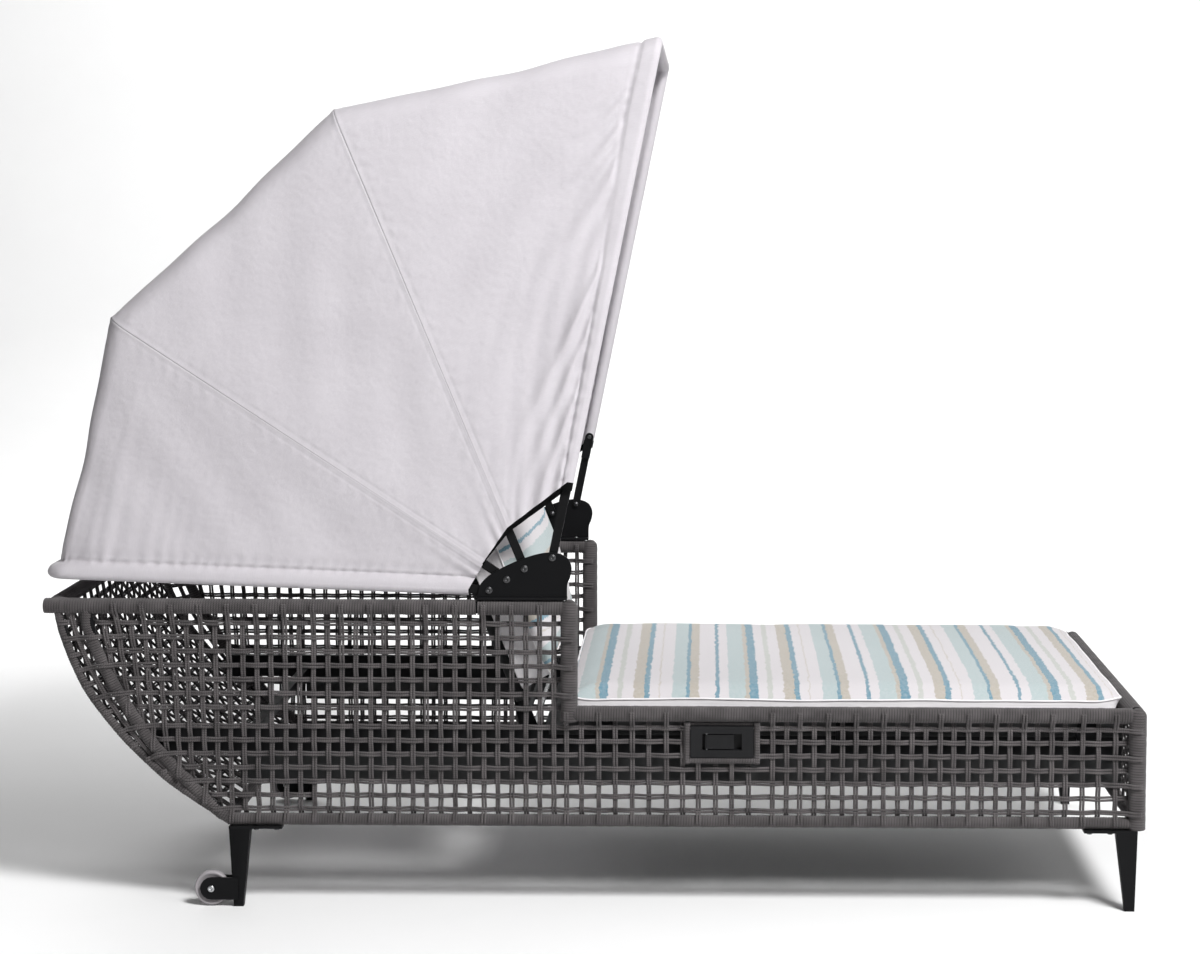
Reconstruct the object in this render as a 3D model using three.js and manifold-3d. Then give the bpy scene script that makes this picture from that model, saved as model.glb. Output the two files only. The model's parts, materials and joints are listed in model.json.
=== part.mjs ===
// Outdoor daybed with a folding canopy. Millimetres, +Z up, head end at -X, near side at -Y.
// The origin is on the floor under the middle of the frame.
import * as THREE from 'three';
import { mergeVertices } from 'three/addons/utils/BufferGeometryUtils.js';
import Module from 'manifold-3d';

const wasm = await Module();
wasm.setup();

// Overall sizes
const overallLength = 2150;
const overallWidth = 1000;
const armTop = 608;
const seatRailTop = 400;
const legHeight = 161;

// Clearance between touching pieces, and how far a cut runs past what it cuts
const clearance = 0.3;
const overrun = 4;

// Side, head and foot frames: round tube wrapped in cord
const railTube = 12.5;
const railWrap = 3;
const lowTube = 9;
const lowWrap = 3;
const postTube = 14.5;
const postWrap = 3;
const edgeTube = 6.5;
const edgeWrap = 2;
const armRailLength = 1009.5;
const rimCorner = 45;
const rimStub = 6;
const headRun = 340;
const tubeSides = 8;
const wrapSides = 8;
const hexSides = 6;
const arcSteps = 4;
const endSteps = 8;

// The curved head end, from the rim down to the bottom rail: shares of its run and of its rise
const outerCurveShares = [
  [0.028, 1], [0.043, 0.93], [0.066, 0.858], [0.134, 0.713], [0.228, 0.57],
  [0.399, 0.393], [0.555, 0.265], [0.705, 0.16], [1, 0],
];
const innerCurveShares = [
  [0.193, 1], [0.208, 0.882], [0.317, 0.677], [0.437, 0.508],
  [0.582, 0.338], [0.756, 0.188], [0.932, 0.045], [1.015, 0],
];
const curveSteps = 6;

// The open cord net
const cordWidth = 10;
const cordThickness = 6;
const netPitch = 137.5;
const seamGap = 0.6;
const bandSides = 4;

// Legs, their flanges and bolts, and the head-end wheels
const legTopLength = 42;
const legTopWidth = 30;
const legFootLength = 19;
const legFootWidth = 17;
const headLegInset = 24.5;
const footLegInset = 20.5;
const headLegLean = -4;
const footLegLean = 8;
const flangeThickness = 5;
const flangeReach = 62;
const flangeWidth = 30;
const boltRadius = 3;
const boltHeadRadius = 5.5;
const boltHeadHeight = 4;
const boltSetback = 10;
const boltPitch = 40;
const tappedStripWidth = 8;
const tappedStripThickness = 3;
const boltSides = 8;
const wheelRadius = 34;
const wheelWidth = 16;
const wheelRise = 36;
const wheelOffset = 57;
const tyreDepth = 7;
const tyreRound = 3;
const webInset = 3;
const hubRadius = 11;
const forkThickness = 4;
const forkGap = 1;
const forkRound = 22;
const axleRadius = 4;
const axleHeadRadius = 7.5;
const axleHeadHeight = 3;
const wheelSegments = 14;

// Deck under the cushions
const deckTop = 345;
const deckRailHeight = 25;
const deckSideHeight = 48;
const deckRailWidth = 20;
const deckSideGap = 42.5;
const deckHeadInset = 179.5;
const deckFootInset = 25.5;
const hingeCrossSetback = 42;
const middleCrossShares = [0.335, 0.67];
const rearCrossInset = 180;
const strapWidth = 40;
const strapThickness = 5;
const strapRise = 44;
const strapInset = 70;
const seatSlingThickness = 4;
const seatSlingInset = 6;

// Backrest, modelled flat behind its hinge and raised to its resting angle
const backrestAngle = 68;
const hingeSetback = 33;
const hingeDrop = 9;
const backrestTube = 10;
const backrestHem = 3;
const backrestSideGap = 50;
const backrestLength = 640;
const backrestFootGap = 40;
const earThickness = 6;
const earRound = 13;
const hingeRodRadius = 5;
const deckEarGap = 24;

// Cushions
const cushionHeadLap = 20;
const cushionFootGap = 3;
const cushionSideGap = 11;
const cushionThickness = 77;
const cushionCorner = 38;
const cushionEdge = 11;
const cushionDrawIn = 7;
const seatCrown = 9;
const backCrown = 44;
const backCushionStart = 72;
const backCushionLength = 560;
const backCushionNarrowing = 28;
const cushionCornerSteps = 3;
const cushionSideSteps = 5;
const crownRingShares = [0.84, 0.6, 0.3];

// Lockable gas spring between the deck and the backrest
const springArm = 160;
const springFootAngle = 260;
const springHeadAngle = 10;
const springCylinder = 11;
const springBore = 5.6;
const springRod = 4.5;
const springEye = 9;
const springEyeWidth = 23;
const springPin = 3.7;
const springCylinderEnd = 168;
const springBoreStart = 20;
const springRodLength = 155;
const springCheek = 5;

// Release handle in the near seat panel
const handleSetback = 298.5;
const handleZ = 331.5;
const handleLength = 123;
const handleHeight = 61;
const handleDepth = 24;
const handleInset = 5;
const recessLength = 77;
const recessHeight = 32;
const recessDepth = 16;
const paddleLength = 58;
const paddleHeight = 28;
const paddleThickness = 5;
const paddleInset = 1.5;
const paddleEndGap = 4;
const paddleKnuckle = 4.5;
const paddlePinRadius = 2;
const paddlePinReach = 6;
const handleBorder = 9;

// Canopy hinge plates on the arm rails, with a pivot for each bow
const plateSetback = 178.7;
const plateLength = 184;
const plateHeight = 93;
const plateThickness = 6;
const plateStandoff = 1.5;
const plateFlangeThickness = 5;
const plateFlangeWidth = 24;
const plateOutlineShares = [
  [0, 0], [0.034, 0.32], [0.25, 0.64], [0.508, 0.88], [0.75, 0.995], [0.858, 0.977],
  [0.966, 0.83], [1, 0.668], [0.98, 0.48], [0.95, 0.32], [0.952, 0],
];
const armWidth = 17;
const armThickness = 5;
const tongueWidth = 11;
const tongueLength = 25;
const screwRadius = 3.5;
const screwHeadRadius = 6.5;
const screwHeadHeight = 3;

// Canopy bows: each has its pivot on the plate, its angle, and its reach to the cross tube and its
// arm as shares of the front bow's
const bowTube = 9.5;
const bowCorner = 32;
const frontReach = 1016;
const frontArm = 158;
const bowShares = [
  { name: 'front', pivotShares: [0.796, 0.889], angle: 78.6, reachShare: 1, armShare: 1 },
  { name: 'second', pivotShares: [0.501, 0.653], angle: 112.6, reachShare: 0.936, armShare: 0.633 },
  { name: 'third', pivotShares: [0.314, 0.427], angle: 146.8, reachShare: 0.898, armShare: 0.506 },
  { name: 'rear', pivotShares: [0.126, 0.201], angle: 178, reachShare: 0.8448, armShare: 0.348 },
];

// Canopy cloth
const clothThickness = 1.6;
const clothStandoff = 12.2;
const clothStart = 6;
const clothSag = 9;
const foldDepth = 9;
const hemWraps = [80, 42];
const seamWrap = 1.5;
const legStations = 3;
const cornerStations = 3;
const crossStations = 2;
const gores = [
  { name: 'front', rows: 7, folds: 2.5 },
  { name: 'middle', rows: 4, folds: 1 },
  { name: 'rear', rows: 4, folds: 1 },
];

// Colours and finishes
const finishes = {
  steel: { color: 0x1b1c1d, roughness: 0.45, metalness: 0.8 },
  cord: { color: 0x4e4a4b, roughness: 0.9, metalness: 0 },
  sling: { color: 0x2c2d2f, roughness: 0.95, metalness: 0 },
  stripe: { color: 0xd5dad8, roughness: 0.95, metalness: 0 },
  cloth: { color: 0xdad6dc, roughness: 0.9, metalness: 0 },
  plastic: { color: 0x161718, roughness: 0.5, metalness: 0 },
  tyre: { color: 0x77797b, roughness: 0.8, metalness: 0 },
  bright: { color: 0xb9bcbf, roughness: 0.3, metalness: 1 },
};

// Places worked out from those sizes
const railRound = railTube + railWrap;
const lowRound = lowTube + lowWrap;
const postRound = postTube + postWrap;
const edgeRound = edgeTube + edgeWrap;
const sideY = overallWidth / 2 - postRound;
const armZ = armTop - railRound;
const seatZ = seatRailTop - railRound;
const lowZ = legHeight + lowRound;
const headX = -overallLength / 2 + railRound;
const footX = overallLength / 2 - postRound;
const footRailZ = seatRailTop - postRound;
const lowHeadX = headX + headRun;
const armPostX = headX + armRailLength;
const headLegX = lowHeadX + headLegInset;
const footLegX = footX - footLegInset;
const deckRailY = sideY - deckSideGap;
const deckHeadX = headX + deckHeadInset;
const deckFootX = footX - deckFootInset;
const hingeCrossX = armPostX - hingeCrossSetback;
const rearCrossX = deckHeadX + rearCrossInset;
const backrestHalfWidth = deckRailY - backrestSideGap;
const deckEarY = backrestHalfWidth + deckEarGap;
const seatCushionHeadX = armPostX - cushionHeadLap;
const seatCushionFootX = footX - postRound - cushionFootGap;
const seatCushionHalfWidth = sideY - railRound - cushionSideGap;
const backCushionHalfWidth = seatCushionHalfWidth - backCushionNarrowing;
const hingeX = hingeCrossX - hingeSetback;
const hingeZ = deckTop - hingeDrop;
const handleX = armPostX + handleSetback;
const plateX = armPostX - plateSetback;
const bows = bowShares.map((bow) => ({
  ...bow,
  reach: bow.reachShare * frontReach,
  arm: bow.armShare * frontArm,
}));
const deckBottom = deckTop - deckRailHeight;
const bowY = sideY - clearance - armThickness / 2 + plateStandoff;
const radians = Math.PI / 180;

const daybed = new THREE.Group();

// A vector from its three coordinates
function at(x, y, z) {
  return new THREE.Vector3(x, y, z);
}

// A closed three.js geometry as a solid that can be joined and cut
function solid(geometry) {
  const bare = geometry.clone();
  bare.deleteAttribute('normal');
  bare.deleteAttribute('uv');
  const merged = mergeVertices(bare);
  return new wasm.Manifold(new wasm.Mesh({
    numProp: 3,
    vertProperties: merged.attributes.position.array,
    triVerts: merged.index.array,
  }));
}

// A solid back as a three.js geometry
function geometryOf(shape) {
  const mesh = shape.getMesh();
  const geometry = new THREE.BufferGeometry();
  const positions = new THREE.BufferAttribute(Float32Array.from(mesh.vertProperties), 3);
  geometry.setAttribute('position', positions);
  geometry.setIndex(Array.from(mesh.triVerts));
  geometry.computeVertexNormals();
  return geometry;
}

function union(shapes) {
  return shapes.reduce((joined, shape) => joined.add(shape));
}

// The main body of a shape, without the crumbs that a cut leaves
function mainBody(shape) {
  return shape.decompose().reduce((main, body) => (body.volume() > main.volume() ? body : main));
}

// Adds a named piece with its finish
function addPiece(name, shape, finish, parent = daybed) {
  const geometry = shape.isBufferGeometry ? shape : geometryOf(shape);
  const mesh = new THREE.Mesh(geometry, new THREE.MeshStandardMaterial(finishes[finish]));
  mesh.name = name;
  parent.add(mesh);
  return mesh;
}

// A rectangular block between two corners
function block(low, high) {
  const size = high.clone().sub(low);
  const geometry = new THREE.BoxGeometry(size.x, size.y, size.z);
  const centre = low.clone().add(high).divideScalar(2);
  geometry.translate(centre.x, centre.y, centre.z);
  return solid(geometry);
}

// A round bar between two points
function bar(from, to, radius, sides = tubeSides) {
  const along = to.clone().sub(from);
  const geometry = new THREE.CylinderGeometry(radius, radius, along.length(), sides);
  geometry.applyQuaternion(new THREE.Quaternion().setFromUnitVectors(at(0, 1, 0), along.normalize()));
  const centre = from.clone().add(to).divideScalar(2);
  geometry.translate(centre.x, centre.y, centre.z);
  return solid(geometry);
}

// The radius of a faceted hole that a faceted pin can turn in
function holeFor(pinRadius) {
  return (pinRadius + clearance) / Math.cos(Math.PI / tubeSides);
}

// A flat plate: an outline of [x, z] points, filled from one y to another
function plate(outline, lowY, highY) {
  const shape = new THREE.Shape(outline.map(([x, z]) => new THREE.Vector2(x, z)));
  const geometry = new THREE.ExtrudeGeometry(shape, { depth: highY - lowY, bevelEnabled: false });
  geometry.rotateX(Math.PI / 2);
  geometry.translate(0, highY, 0);
  return solid(geometry);
}

// A line through given points, stepped from point to point
class BentLine extends THREE.Curve {
  constructor(points) {
    super();
    this.points = points;
  }

  getPoint(share) {
    const place = share * (this.points.length - 1);
    const index = Math.min(Math.floor(place), this.points.length - 2);
    return this.points[index].clone().lerp(this.points[index + 1], place - index);
  }

  getPointAt(share) {
    return this.getPoint(share);
  }

  getTangentAt(share) {
    const index = Math.round(share * (this.points.length - 1));
    const before = this.points[Math.max(index - 1, 0)];
    const after = this.points[Math.min(index + 1, this.points.length - 1)];
    return after.clone().sub(before).normalize();
  }
}

// A round tube along a list of points
function tube(points, radius, sides = tubeSides) {
  const circle = new THREE.Shape();
  for (let side = 0; side < sides; side += 1) {
    const turn = (side + 0.5) / sides * 2 * Math.PI;
    const corner = [radius * Math.cos(turn), radius * Math.sin(turn)];
    if (side === 0) circle.moveTo(...corner);
    else circle.lineTo(...corner);
  }
  const steps = points.length - 1;
  const extrudePath = new BentLine(points);
  return solid(new THREE.ExtrudeGeometry(circle, { steps, extrudePath, bevelEnabled: false }));
}

// The corner at the middle point, rounded to an arc
function roundedCorner(before, corner, after, radius, steps) {
  const back = before.clone().sub(corner).normalize();
  const ahead = after.clone().sub(corner).normalize();
  const halfAngle = back.angleTo(ahead) / 2;
  const setback = radius / Math.tan(halfAngle);
  const bisector = back.clone().add(ahead).normalize();
  const centre = corner.clone().addScaledVector(bisector, radius / Math.sin(halfAngle));
  const start = corner.clone().addScaledVector(back, setback).sub(centre);
  const end = corner.clone().addScaledVector(ahead, setback).sub(centre);
  const sweep = start.angleTo(end);
  const axis = start.clone().cross(end).normalize();
  return Array.from({ length: steps + 1 }, (_, step) => (
    start.clone().applyAxisAngle(axis, sweep * step / steps).add(centre)
  ));
}

// The head end's curve in the side plane, as evenly spaced points
function headCurve(shares, y, steps = curveSteps) {
  const points = shares.map(([run, rise]) => at(headX + run * headRun, y, lowZ + rise * (armZ - lowZ)));
  return new THREE.CatmullRomCurve3(points).getSpacedPoints(steps);
}

// Side frames: everything in the plane of one side, and round the rim's corner
const rimHalf = sideY - rimCorner - rimStub;

const armRailHead = (side) => [
  at(headX, side * rimHalf, armZ),
  ...roundedCorner(
    at(headX, side * (sideY - 2 * rimCorner), armZ),
    at(headX, side * sideY, armZ),
    at(armPostX, side * sideY, armZ),
    rimCorner,
    arcSteps,
  ),
  at(armPostX, side * sideY, armZ),
];

function boltPair(legX, reachSign, side, grow = 0) {
  const first = legX + reachSign * (legTopLength / 2 + boltSetback);
  const second = first + reachSign * boltPitch;
  const y = side * sideY;
  const flangeBottom = legHeight - clearance - flangeThickness;
  const stripLow = lowZ - tappedStripThickness / 2;
  const stripEnd = tappedStripWidth / 2 + grow;
  const stripLeft = Math.min(first, second) - stripEnd;
  const stripRight = Math.max(first, second) + stripEnd;
  const pieces = [block(
    at(stripLeft, y - stripEnd, stripLow - grow),
    at(stripRight, y + stripEnd, stripLow + tappedStripThickness + grow),
  )];
  for (const x of [first, second]) {
    const headTop = flangeBottom - clearance;
    pieces.push(bar(at(x, y, headTop - boltHeadHeight / 2), at(x, y, lowZ), boltRadius + grow, boltSides));
    pieces.push(bar(at(x, y, headTop - boltHeadHeight), at(x, y, headTop), boltHeadRadius + grow, hexSides));
  }
  return union(pieces);
}

const legs = [
  { name: 'leg_head', x: headLegX, reachSign: 1, lean: headLegLean },
  { name: 'leg_foot', x: footLegX, reachSign: -1, lean: footLegLean },
];

function sideTubes(side, grow = 0) {
  const y = side * sideY;
  const footPostTop = at(footX, y, footRailZ);
  return union([
    tube(armRailHead(side), railTube + grow),
    bar(at(armPostX, y, armZ), at(armPostX, y, seatZ), postTube + grow),
    bar(at(armPostX, y, seatZ), at(footX, y, seatZ), railTube + grow),
    bar(footPostTop, at(footX, y, lowZ), postTube + grow),
    bar(at(lowHeadX, y, lowZ), at(footX, y, lowZ), lowTube + grow),
    tube(headCurve(innerCurveShares, y), lowTube + grow),
    tube(headCurve(outerCurveShares, y), edgeTube + grow),
  ]);
}

function sideBolts(side, grow) {
  return union(legs.map((leg) => boltPair(leg.x, leg.reachSign, side, grow)));
}

// Head end: the rim's straight part and the lower cross tube
const lowHalf = sideY - lowRound - 2 * clearance;

function headRim(radius, sides = tubeSides) {
  const half = rimHalf - clearance;
  return bar(at(headX, -half, armZ), at(headX, half, armZ), radius, sides);
}

function headLowRail(radius, sides = tubeSides) {
  return bar(at(lowHeadX, -lowHalf, lowZ), at(lowHeadX, lowHalf, lowZ), radius, sides);
}

// Foot frame: two cross rails and a middle post
const footHalf = sideY - postRound - clearance;

function footTubes(grow = 0) {
  return union([
    bar(at(footX, -footHalf, footRailZ), at(footX, footHalf, footRailZ), postTube + grow),
    bar(at(footX, -footHalf, lowZ), at(footX, footHalf, lowZ), lowTube + grow),
    bar(at(footX, 0, lowZ), at(footX, 0, footRailZ), edgeTube + grow),
  ]);
}

// Evenly spaced places between two ends, as near to a pitch as fits
function spread(low, high, pitch) {
  const count = Math.max(1, Math.round((high - low) / pitch));
  return Array.from({ length: count - 1 }, (_, index) => low + (index + 1) * (high - low) / count);
}

// Upright and level cords in a side plane
function uprightCord(x, y, low, high) {
  return block(
    at(x - cordWidth / 2, y - cordThickness / 2, low),
    at(x + cordWidth / 2, y + cordThickness / 2, high),
  );
}

function levelCord(z, y, low, high) {
  return block(
    at(low, y - cordThickness / 2, z - cordWidth / 2),
    at(high, y + cordThickness / 2, z + cordWidth / 2),
  );
}

const outlineOf = (points) => points.map((point) => [point.x, point.z]);

function armWeave(side) {
  const y = side * sideY;
  const outer = headCurve(outerCurveShares, y);
  const inner = headCurve(innerCurveShares, y);
  const seamX = armPostX - seamGap / 2;
  const depth = cordThickness;
  const closing = [[seamX, lowZ], [seamX, armZ]];
  const bandRegion = plate([...outlineOf(outer), ...closing], y - depth, y + depth);
  const netRegion = plate([...outlineOf(inner), ...closing], y - depth, y + depth);
  const uprights = spread(inner[0].x, seamX, netPitch).map((x) => uprightCord(x, y, lowZ, armZ));
  const levels = spread(lowZ, armZ, netPitch).map((z) => levelCord(z, y, headX, seamX));
  const seam = uprightCord(seamX - cordWidth / 2, y, lowZ, armZ);
  const middle = outer.map((point, index) => point.clone().lerp(inner[index], 0.5));
  const sleeves = [
    tube(armRailHead(side), railRound, wrapSides),
    bar(at(armPostX - overrun, y, armZ), at(armPostX + postRound, y, armZ), railRound, wrapSides),
    bar(at(armPostX, y, seatZ - railRound), at(armPostX, y, armZ), postRound, wrapSides),
    bar(at(lowHeadX, y, lowZ), at(seamX, y, lowZ), lowRound, wrapSides),
    tube(inner, lowRound, wrapSides),
    tube(outer, edgeRound, wrapSides),
    tube(middle.slice(0, -1), cordThickness / 2, bandSides),
  ];
  const weave = union([
    union([...uprights, seam]).intersect(netRegion),
    union(levels).intersect(bandRegion),
    ...sleeves,
  ]);
  return mainBody(weave.subtract(sideTubes(side, clearance)).subtract(sideBolts(side, clearance)));
}

function seatWeave(side) {
  const y = side * sideY;
  const seamX = armPostX + seamGap / 2;
  const railStart = armPostX + postRound + clearance;
  const uprights = spread(seamX, footX, netPitch).map((x) => uprightCord(x, y, lowZ, seatZ));
  const levels = spread(lowZ, seatZ, netPitch).map((z) => levelCord(z, y, seamX, footX));
  const seam = uprightCord(seamX + cordWidth / 2, y, lowZ, seatZ - railRound - seamGap);
  let weave = union([
    ...uprights,
    ...levels,
    seam,
    bar(at(railStart, y, seatZ), at(footX, y, seatZ), railRound, wrapSides),
    bar(at(footX, y, lowZ - lowRound), at(footX, y, footRailZ + postTube), postRound, wrapSides),
    bar(at(seamX, y, lowZ), at(footX, y, lowZ), lowRound, wrapSides),
  ]);
  if (side < 0) {
    weave = weave.add(handleBlock(handleBorder, cordThickness * 2, handleBorder));
    weave = weave.subtract(handleBlock(clearance, handleDepth * 2, clearance));
  }
  return mainBody(weave.subtract(sideTubes(side, clearance)).subtract(sideBolts(side, clearance)));
}

// The handle's rectangle grown by a border, centred on the near net
function handleBlock(border, depth, topBorder) {
  return block(
    at(handleX - handleLength / 2 - border, -sideY - depth / 2, handleZ - handleHeight / 2 - border),
    at(handleX + handleLength / 2 + border, -sideY + depth / 2, handleZ + handleHeight / 2 + topBorder),
  );
}

// A cord that follows the head curve, as a flat band
function bandCord(y, width) {
  const line = headCurve(outerCurveShares, y);
  const curve = new BentLine(line);
  const half = cordThickness / 2;
  const offset = (sign) => line.map((point, index) => {
    const tangent = curve.getTangentAt(index / (line.length - 1));
    return [point.x - sign * half * tangent.z, point.z + sign * half * tangent.x];
  });
  return plate([...offset(-1), ...offset(1).reverse()], y - width / 2, y + width / 2);
}

function headWeave() {
  const netHalf = sideY - edgeRound - clearance;
  const line = new BentLine(headCurve(outerCurveShares, 0));
  const length = headRun + armZ - lowZ;
  const rows = Math.round(length / netPitch);
  const levels = Array.from({ length: rows - 1 }, (_, index) => {
    const place = line.getPoint((index + 1) / rows);
    const tangent = line.getTangentAt((index + 1) / rows);
    const geometry = new THREE.BoxGeometry(cordWidth, 2 * netHalf, cordThickness);
    geometry.rotateY(Math.atan2(-tangent.z, tangent.x));
    geometry.translate(place.x, 0, place.z);
    return solid(geometry);
  });
  const uprights = spread(-netHalf, netHalf, netPitch).map((y) => bandCord(y, cordWidth));
  const edges = [-1, 1].map((side) => bandCord(side * (netHalf - cordWidth / 2), cordWidth));
  const weave = union([
    ...levels,
    ...uprights,
    ...edges,
    headRim(railRound, wrapSides),
    headLowRail(lowRound, wrapSides),
  ]);
  const cuts = [
    headRim(railTube + clearance),
    headLowRail(lowTube + clearance),
    sideShell(1),
    sideShell(-1),
  ];
  return mainBody(cuts.reduce((shape, cut) => shape.subtract(cut), weave));
}

// What the two sides take up at the head end, with clearance
function sideShell(side) {
  const y = side * sideY;
  return union([
    tube(armRailHead(side), railRound + clearance, wrapSides),
    tube(headCurve(innerCurveShares, y), lowRound + clearance, wrapSides),
    tube(headCurve(outerCurveShares, y), edgeRound + clearance, wrapSides),
    bar(at(lowHeadX - lowRound, y, lowZ), at(armPostX, y, lowZ), lowRound + clearance, wrapSides),
  ]);
}

function footWeave() {
  const half = footHalf;
  const uprights = spread(-half, half, netPitch).map((y) => block(
    at(footX - cordThickness / 2, y - cordWidth / 2, lowZ),
    at(footX + cordThickness / 2, y + cordWidth / 2, footRailZ),
  ));
  const edges = [-1, 1].map((side) => block(
    at(footX - cordThickness / 2, side * (half - cordWidth / 2) - cordWidth / 2, lowZ),
    at(footX + cordThickness / 2, side * (half - cordWidth / 2) + cordWidth / 2, footRailZ),
  ));
  const levels = spread(lowZ, footRailZ, netPitch).map((z) => block(
    at(footX - cordThickness / 2, -half, z - cordWidth / 2),
    at(footX + cordThickness / 2, half, z + cordWidth / 2),
  ));
  const weave = union([
    ...uprights,
    ...edges,
    ...levels,
    bar(at(footX, -half, footRailZ), at(footX, half, footRailZ), postRound, wrapSides),
    bar(at(footX, -half, lowZ), at(footX, half, lowZ), lowRound, wrapSides),
    bar(at(footX, 0, lowZ), at(footX, 0, footRailZ), edgeRound, wrapSides),
  ]);
  return mainBody(weave.subtract(footTubes(clearance)));
}

// A leg: a tapered post under a flange, with its bolt holes
function tapered(topX, footPlaceX, y, top) {
  const geometry = new THREE.BoxGeometry(1, 1, 1);
  const corners = geometry.attributes.position;
  for (let index = 0; index < corners.count; index += 1) {
    const isTop = corners.getZ(index) > 0;
    const x = isTop ? topX : footPlaceX;
    const length = isTop ? legTopLength : legFootLength;
    const width = isTop ? legTopWidth : legFootWidth;
    corners.setXYZ(
      index,
      x + corners.getX(index) * length,
      y + corners.getY(index) * width,
      isTop ? top : 0,
    );
  }
  return solid(geometry);
}

function legShape(leg, side) {
  const y = side * sideY;
  const top = legHeight - clearance;
  const reach = leg.x + leg.reachSign * (legTopLength / 2 + flangeReach);
  const heel = leg.x - leg.reachSign * legTopLength / 2;
  const post = tapered(leg.x, leg.x + leg.lean, y, top);
  const flange = block(
    at(Math.min(reach, heel), y - flangeWidth / 2, top - flangeThickness),
    at(Math.max(reach, heel), y + flangeWidth / 2, top),
  );
  return post.add(flange).subtract(boltPair(leg.x, leg.reachSign, side, clearance));
}

// The wheel fork is part of each head leg
const wheelX = headLegX - wheelOffset;

function forkPlate(y, innerSign) {
  const points = [[headLegX + headLegLean, wheelRise - forkRound], [headLegX + headLegLean, wheelRise + forkRound]];
  for (let step = 0; step <= endSteps; step += 1) {
    const turn = Math.PI * (1 / 2 + step / endSteps);
    points.push([wheelX + forkRound * Math.cos(turn), wheelRise + forkRound * Math.sin(turn)]);
  }
  const inner = wheelWidth / 2 + forkGap;
  const near = y + innerSign * inner;
  const far = y + innerSign * (inner + forkThickness);
  return plate(points.reverse(), Math.min(near, far), Math.max(near, far));
}

function axleHole(y, radius) {
  const reach = wheelWidth / 2 + forkGap + forkThickness + overrun;
  return bar(at(wheelX, y - reach, wheelRise), at(wheelX, y + reach, wheelRise), radius, wrapSides);
}

function headLegShape(leg, side) {
  const y = side * sideY;
  const forks = [-1, 1].map((sign) => forkPlate(y, sign));
  return union([legShape(leg, side), ...forks]).subtract(axleHole(y, holeFor(axleRadius)));
}

function axleShape(side) {
  const y = side * sideY;
  const reach = wheelWidth / 2 + forkGap + forkThickness + clearance;
  const heads = [-1, 1].map((sign) => bar(
    at(wheelX, y + sign * reach, wheelRise),
    at(wheelX, y + sign * (reach + axleHeadHeight), wheelRise),
    axleHeadRadius,
    wrapSides,
  ));
  const shaft = bar(at(wheelX, y - reach - axleHeadHeight / 2, wheelRise),
    at(wheelX, y + reach + axleHeadHeight / 2, wheelRise), axleRadius, wrapSides);
  return union([shaft, ...heads]);
}

function wheelGeometry() {
  const half = wheelWidth / 2;
  const bore = holeFor(axleRadius);
  const tread = wheelRadius - tyreRound;
  const profile = [
    [bore, -half], [hubRadius, -half], [hubRadius + webInset, webInset - half],
    [wheelRadius - tyreDepth, webInset - half], [wheelRadius - tyreDepth + tyreRound, -half],
    [tread, -half], [wheelRadius, tyreRound - half], [wheelRadius, half - tyreRound], [tread, half],
    [wheelRadius - tyreDepth + tyreRound, half], [wheelRadius - tyreDepth, half - webInset],
    [hubRadius + webInset, half - webInset], [hubRadius, half], [bore, half], [bore, -half],
  ];
  const points = profile.map(([radius, along]) => new THREE.Vector2(radius, along));
  return geometryOf(solid(new THREE.LatheGeometry(points, wheelSegments)));
}

// Places in the backrest's own flat frame, whose origin is on the hinge axis
const tilt = backrestAngle * radians;
const springTurn = springHeadAngle * radians;
const springHead = at(-springArm * Math.cos(springTurn), 0, -springArm * Math.sin(springTurn));
const springFoot = at(
  hingeX + springArm * Math.cos(springFootAngle * radians),
  0,
  hingeZ + springArm * Math.sin(springFootAngle * radians),
);
const springHeadAtRest = springHead.clone().applyAxisAngle(at(0, 1, 0), tilt).add(at(hingeX, 0, hingeZ));

// An ear: a round end about a pin, joined to a place beside it
function ear(pin, target, y, thickness, round, hole) {
  const low = y - thickness / 2;
  const high = y + thickness / 2;
  const along = at(target.x - pin.x, 0, target.z - pin.z).normalize();
  const across = at(-along.z, 0, along.x).multiplyScalar(round);
  const corners = [
    [pin.x + across.x, pin.z + across.z], [pin.x - across.x, pin.z - across.z],
    [target.x - across.x, target.z - across.z], [target.x + across.x, target.z + across.z],
  ];
  const disc = bar(at(pin.x, low, pin.z), at(pin.x, high, pin.z), round, wrapSides);
  const ordered = THREE.ShapeUtils.area(corners.map(([x, z]) => new THREE.Vector2(x, z))) < 0
    ? corners.reverse() : corners;
  const joined = disc.add(plate(ordered, low, high));
  if (!hole) return joined;
  const bore = bar(at(pin.x, low - overrun, pin.z), at(pin.x, high + overrun, pin.z), hole, wrapSides);
  return joined.subtract(bore);
}

function cheeks(pin, target) {
  const y = springEyeWidth / 2 + clearance + springCheek / 2;
  return [
    ear(pin, target, -y, springCheek, springEye, 0),
    ear(pin, target, y, springCheek, springEye, 0),
    bar(at(pin.x, -y, pin.z), at(pin.x, y, pin.z), springPin, wrapSides),
  ];
}

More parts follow.
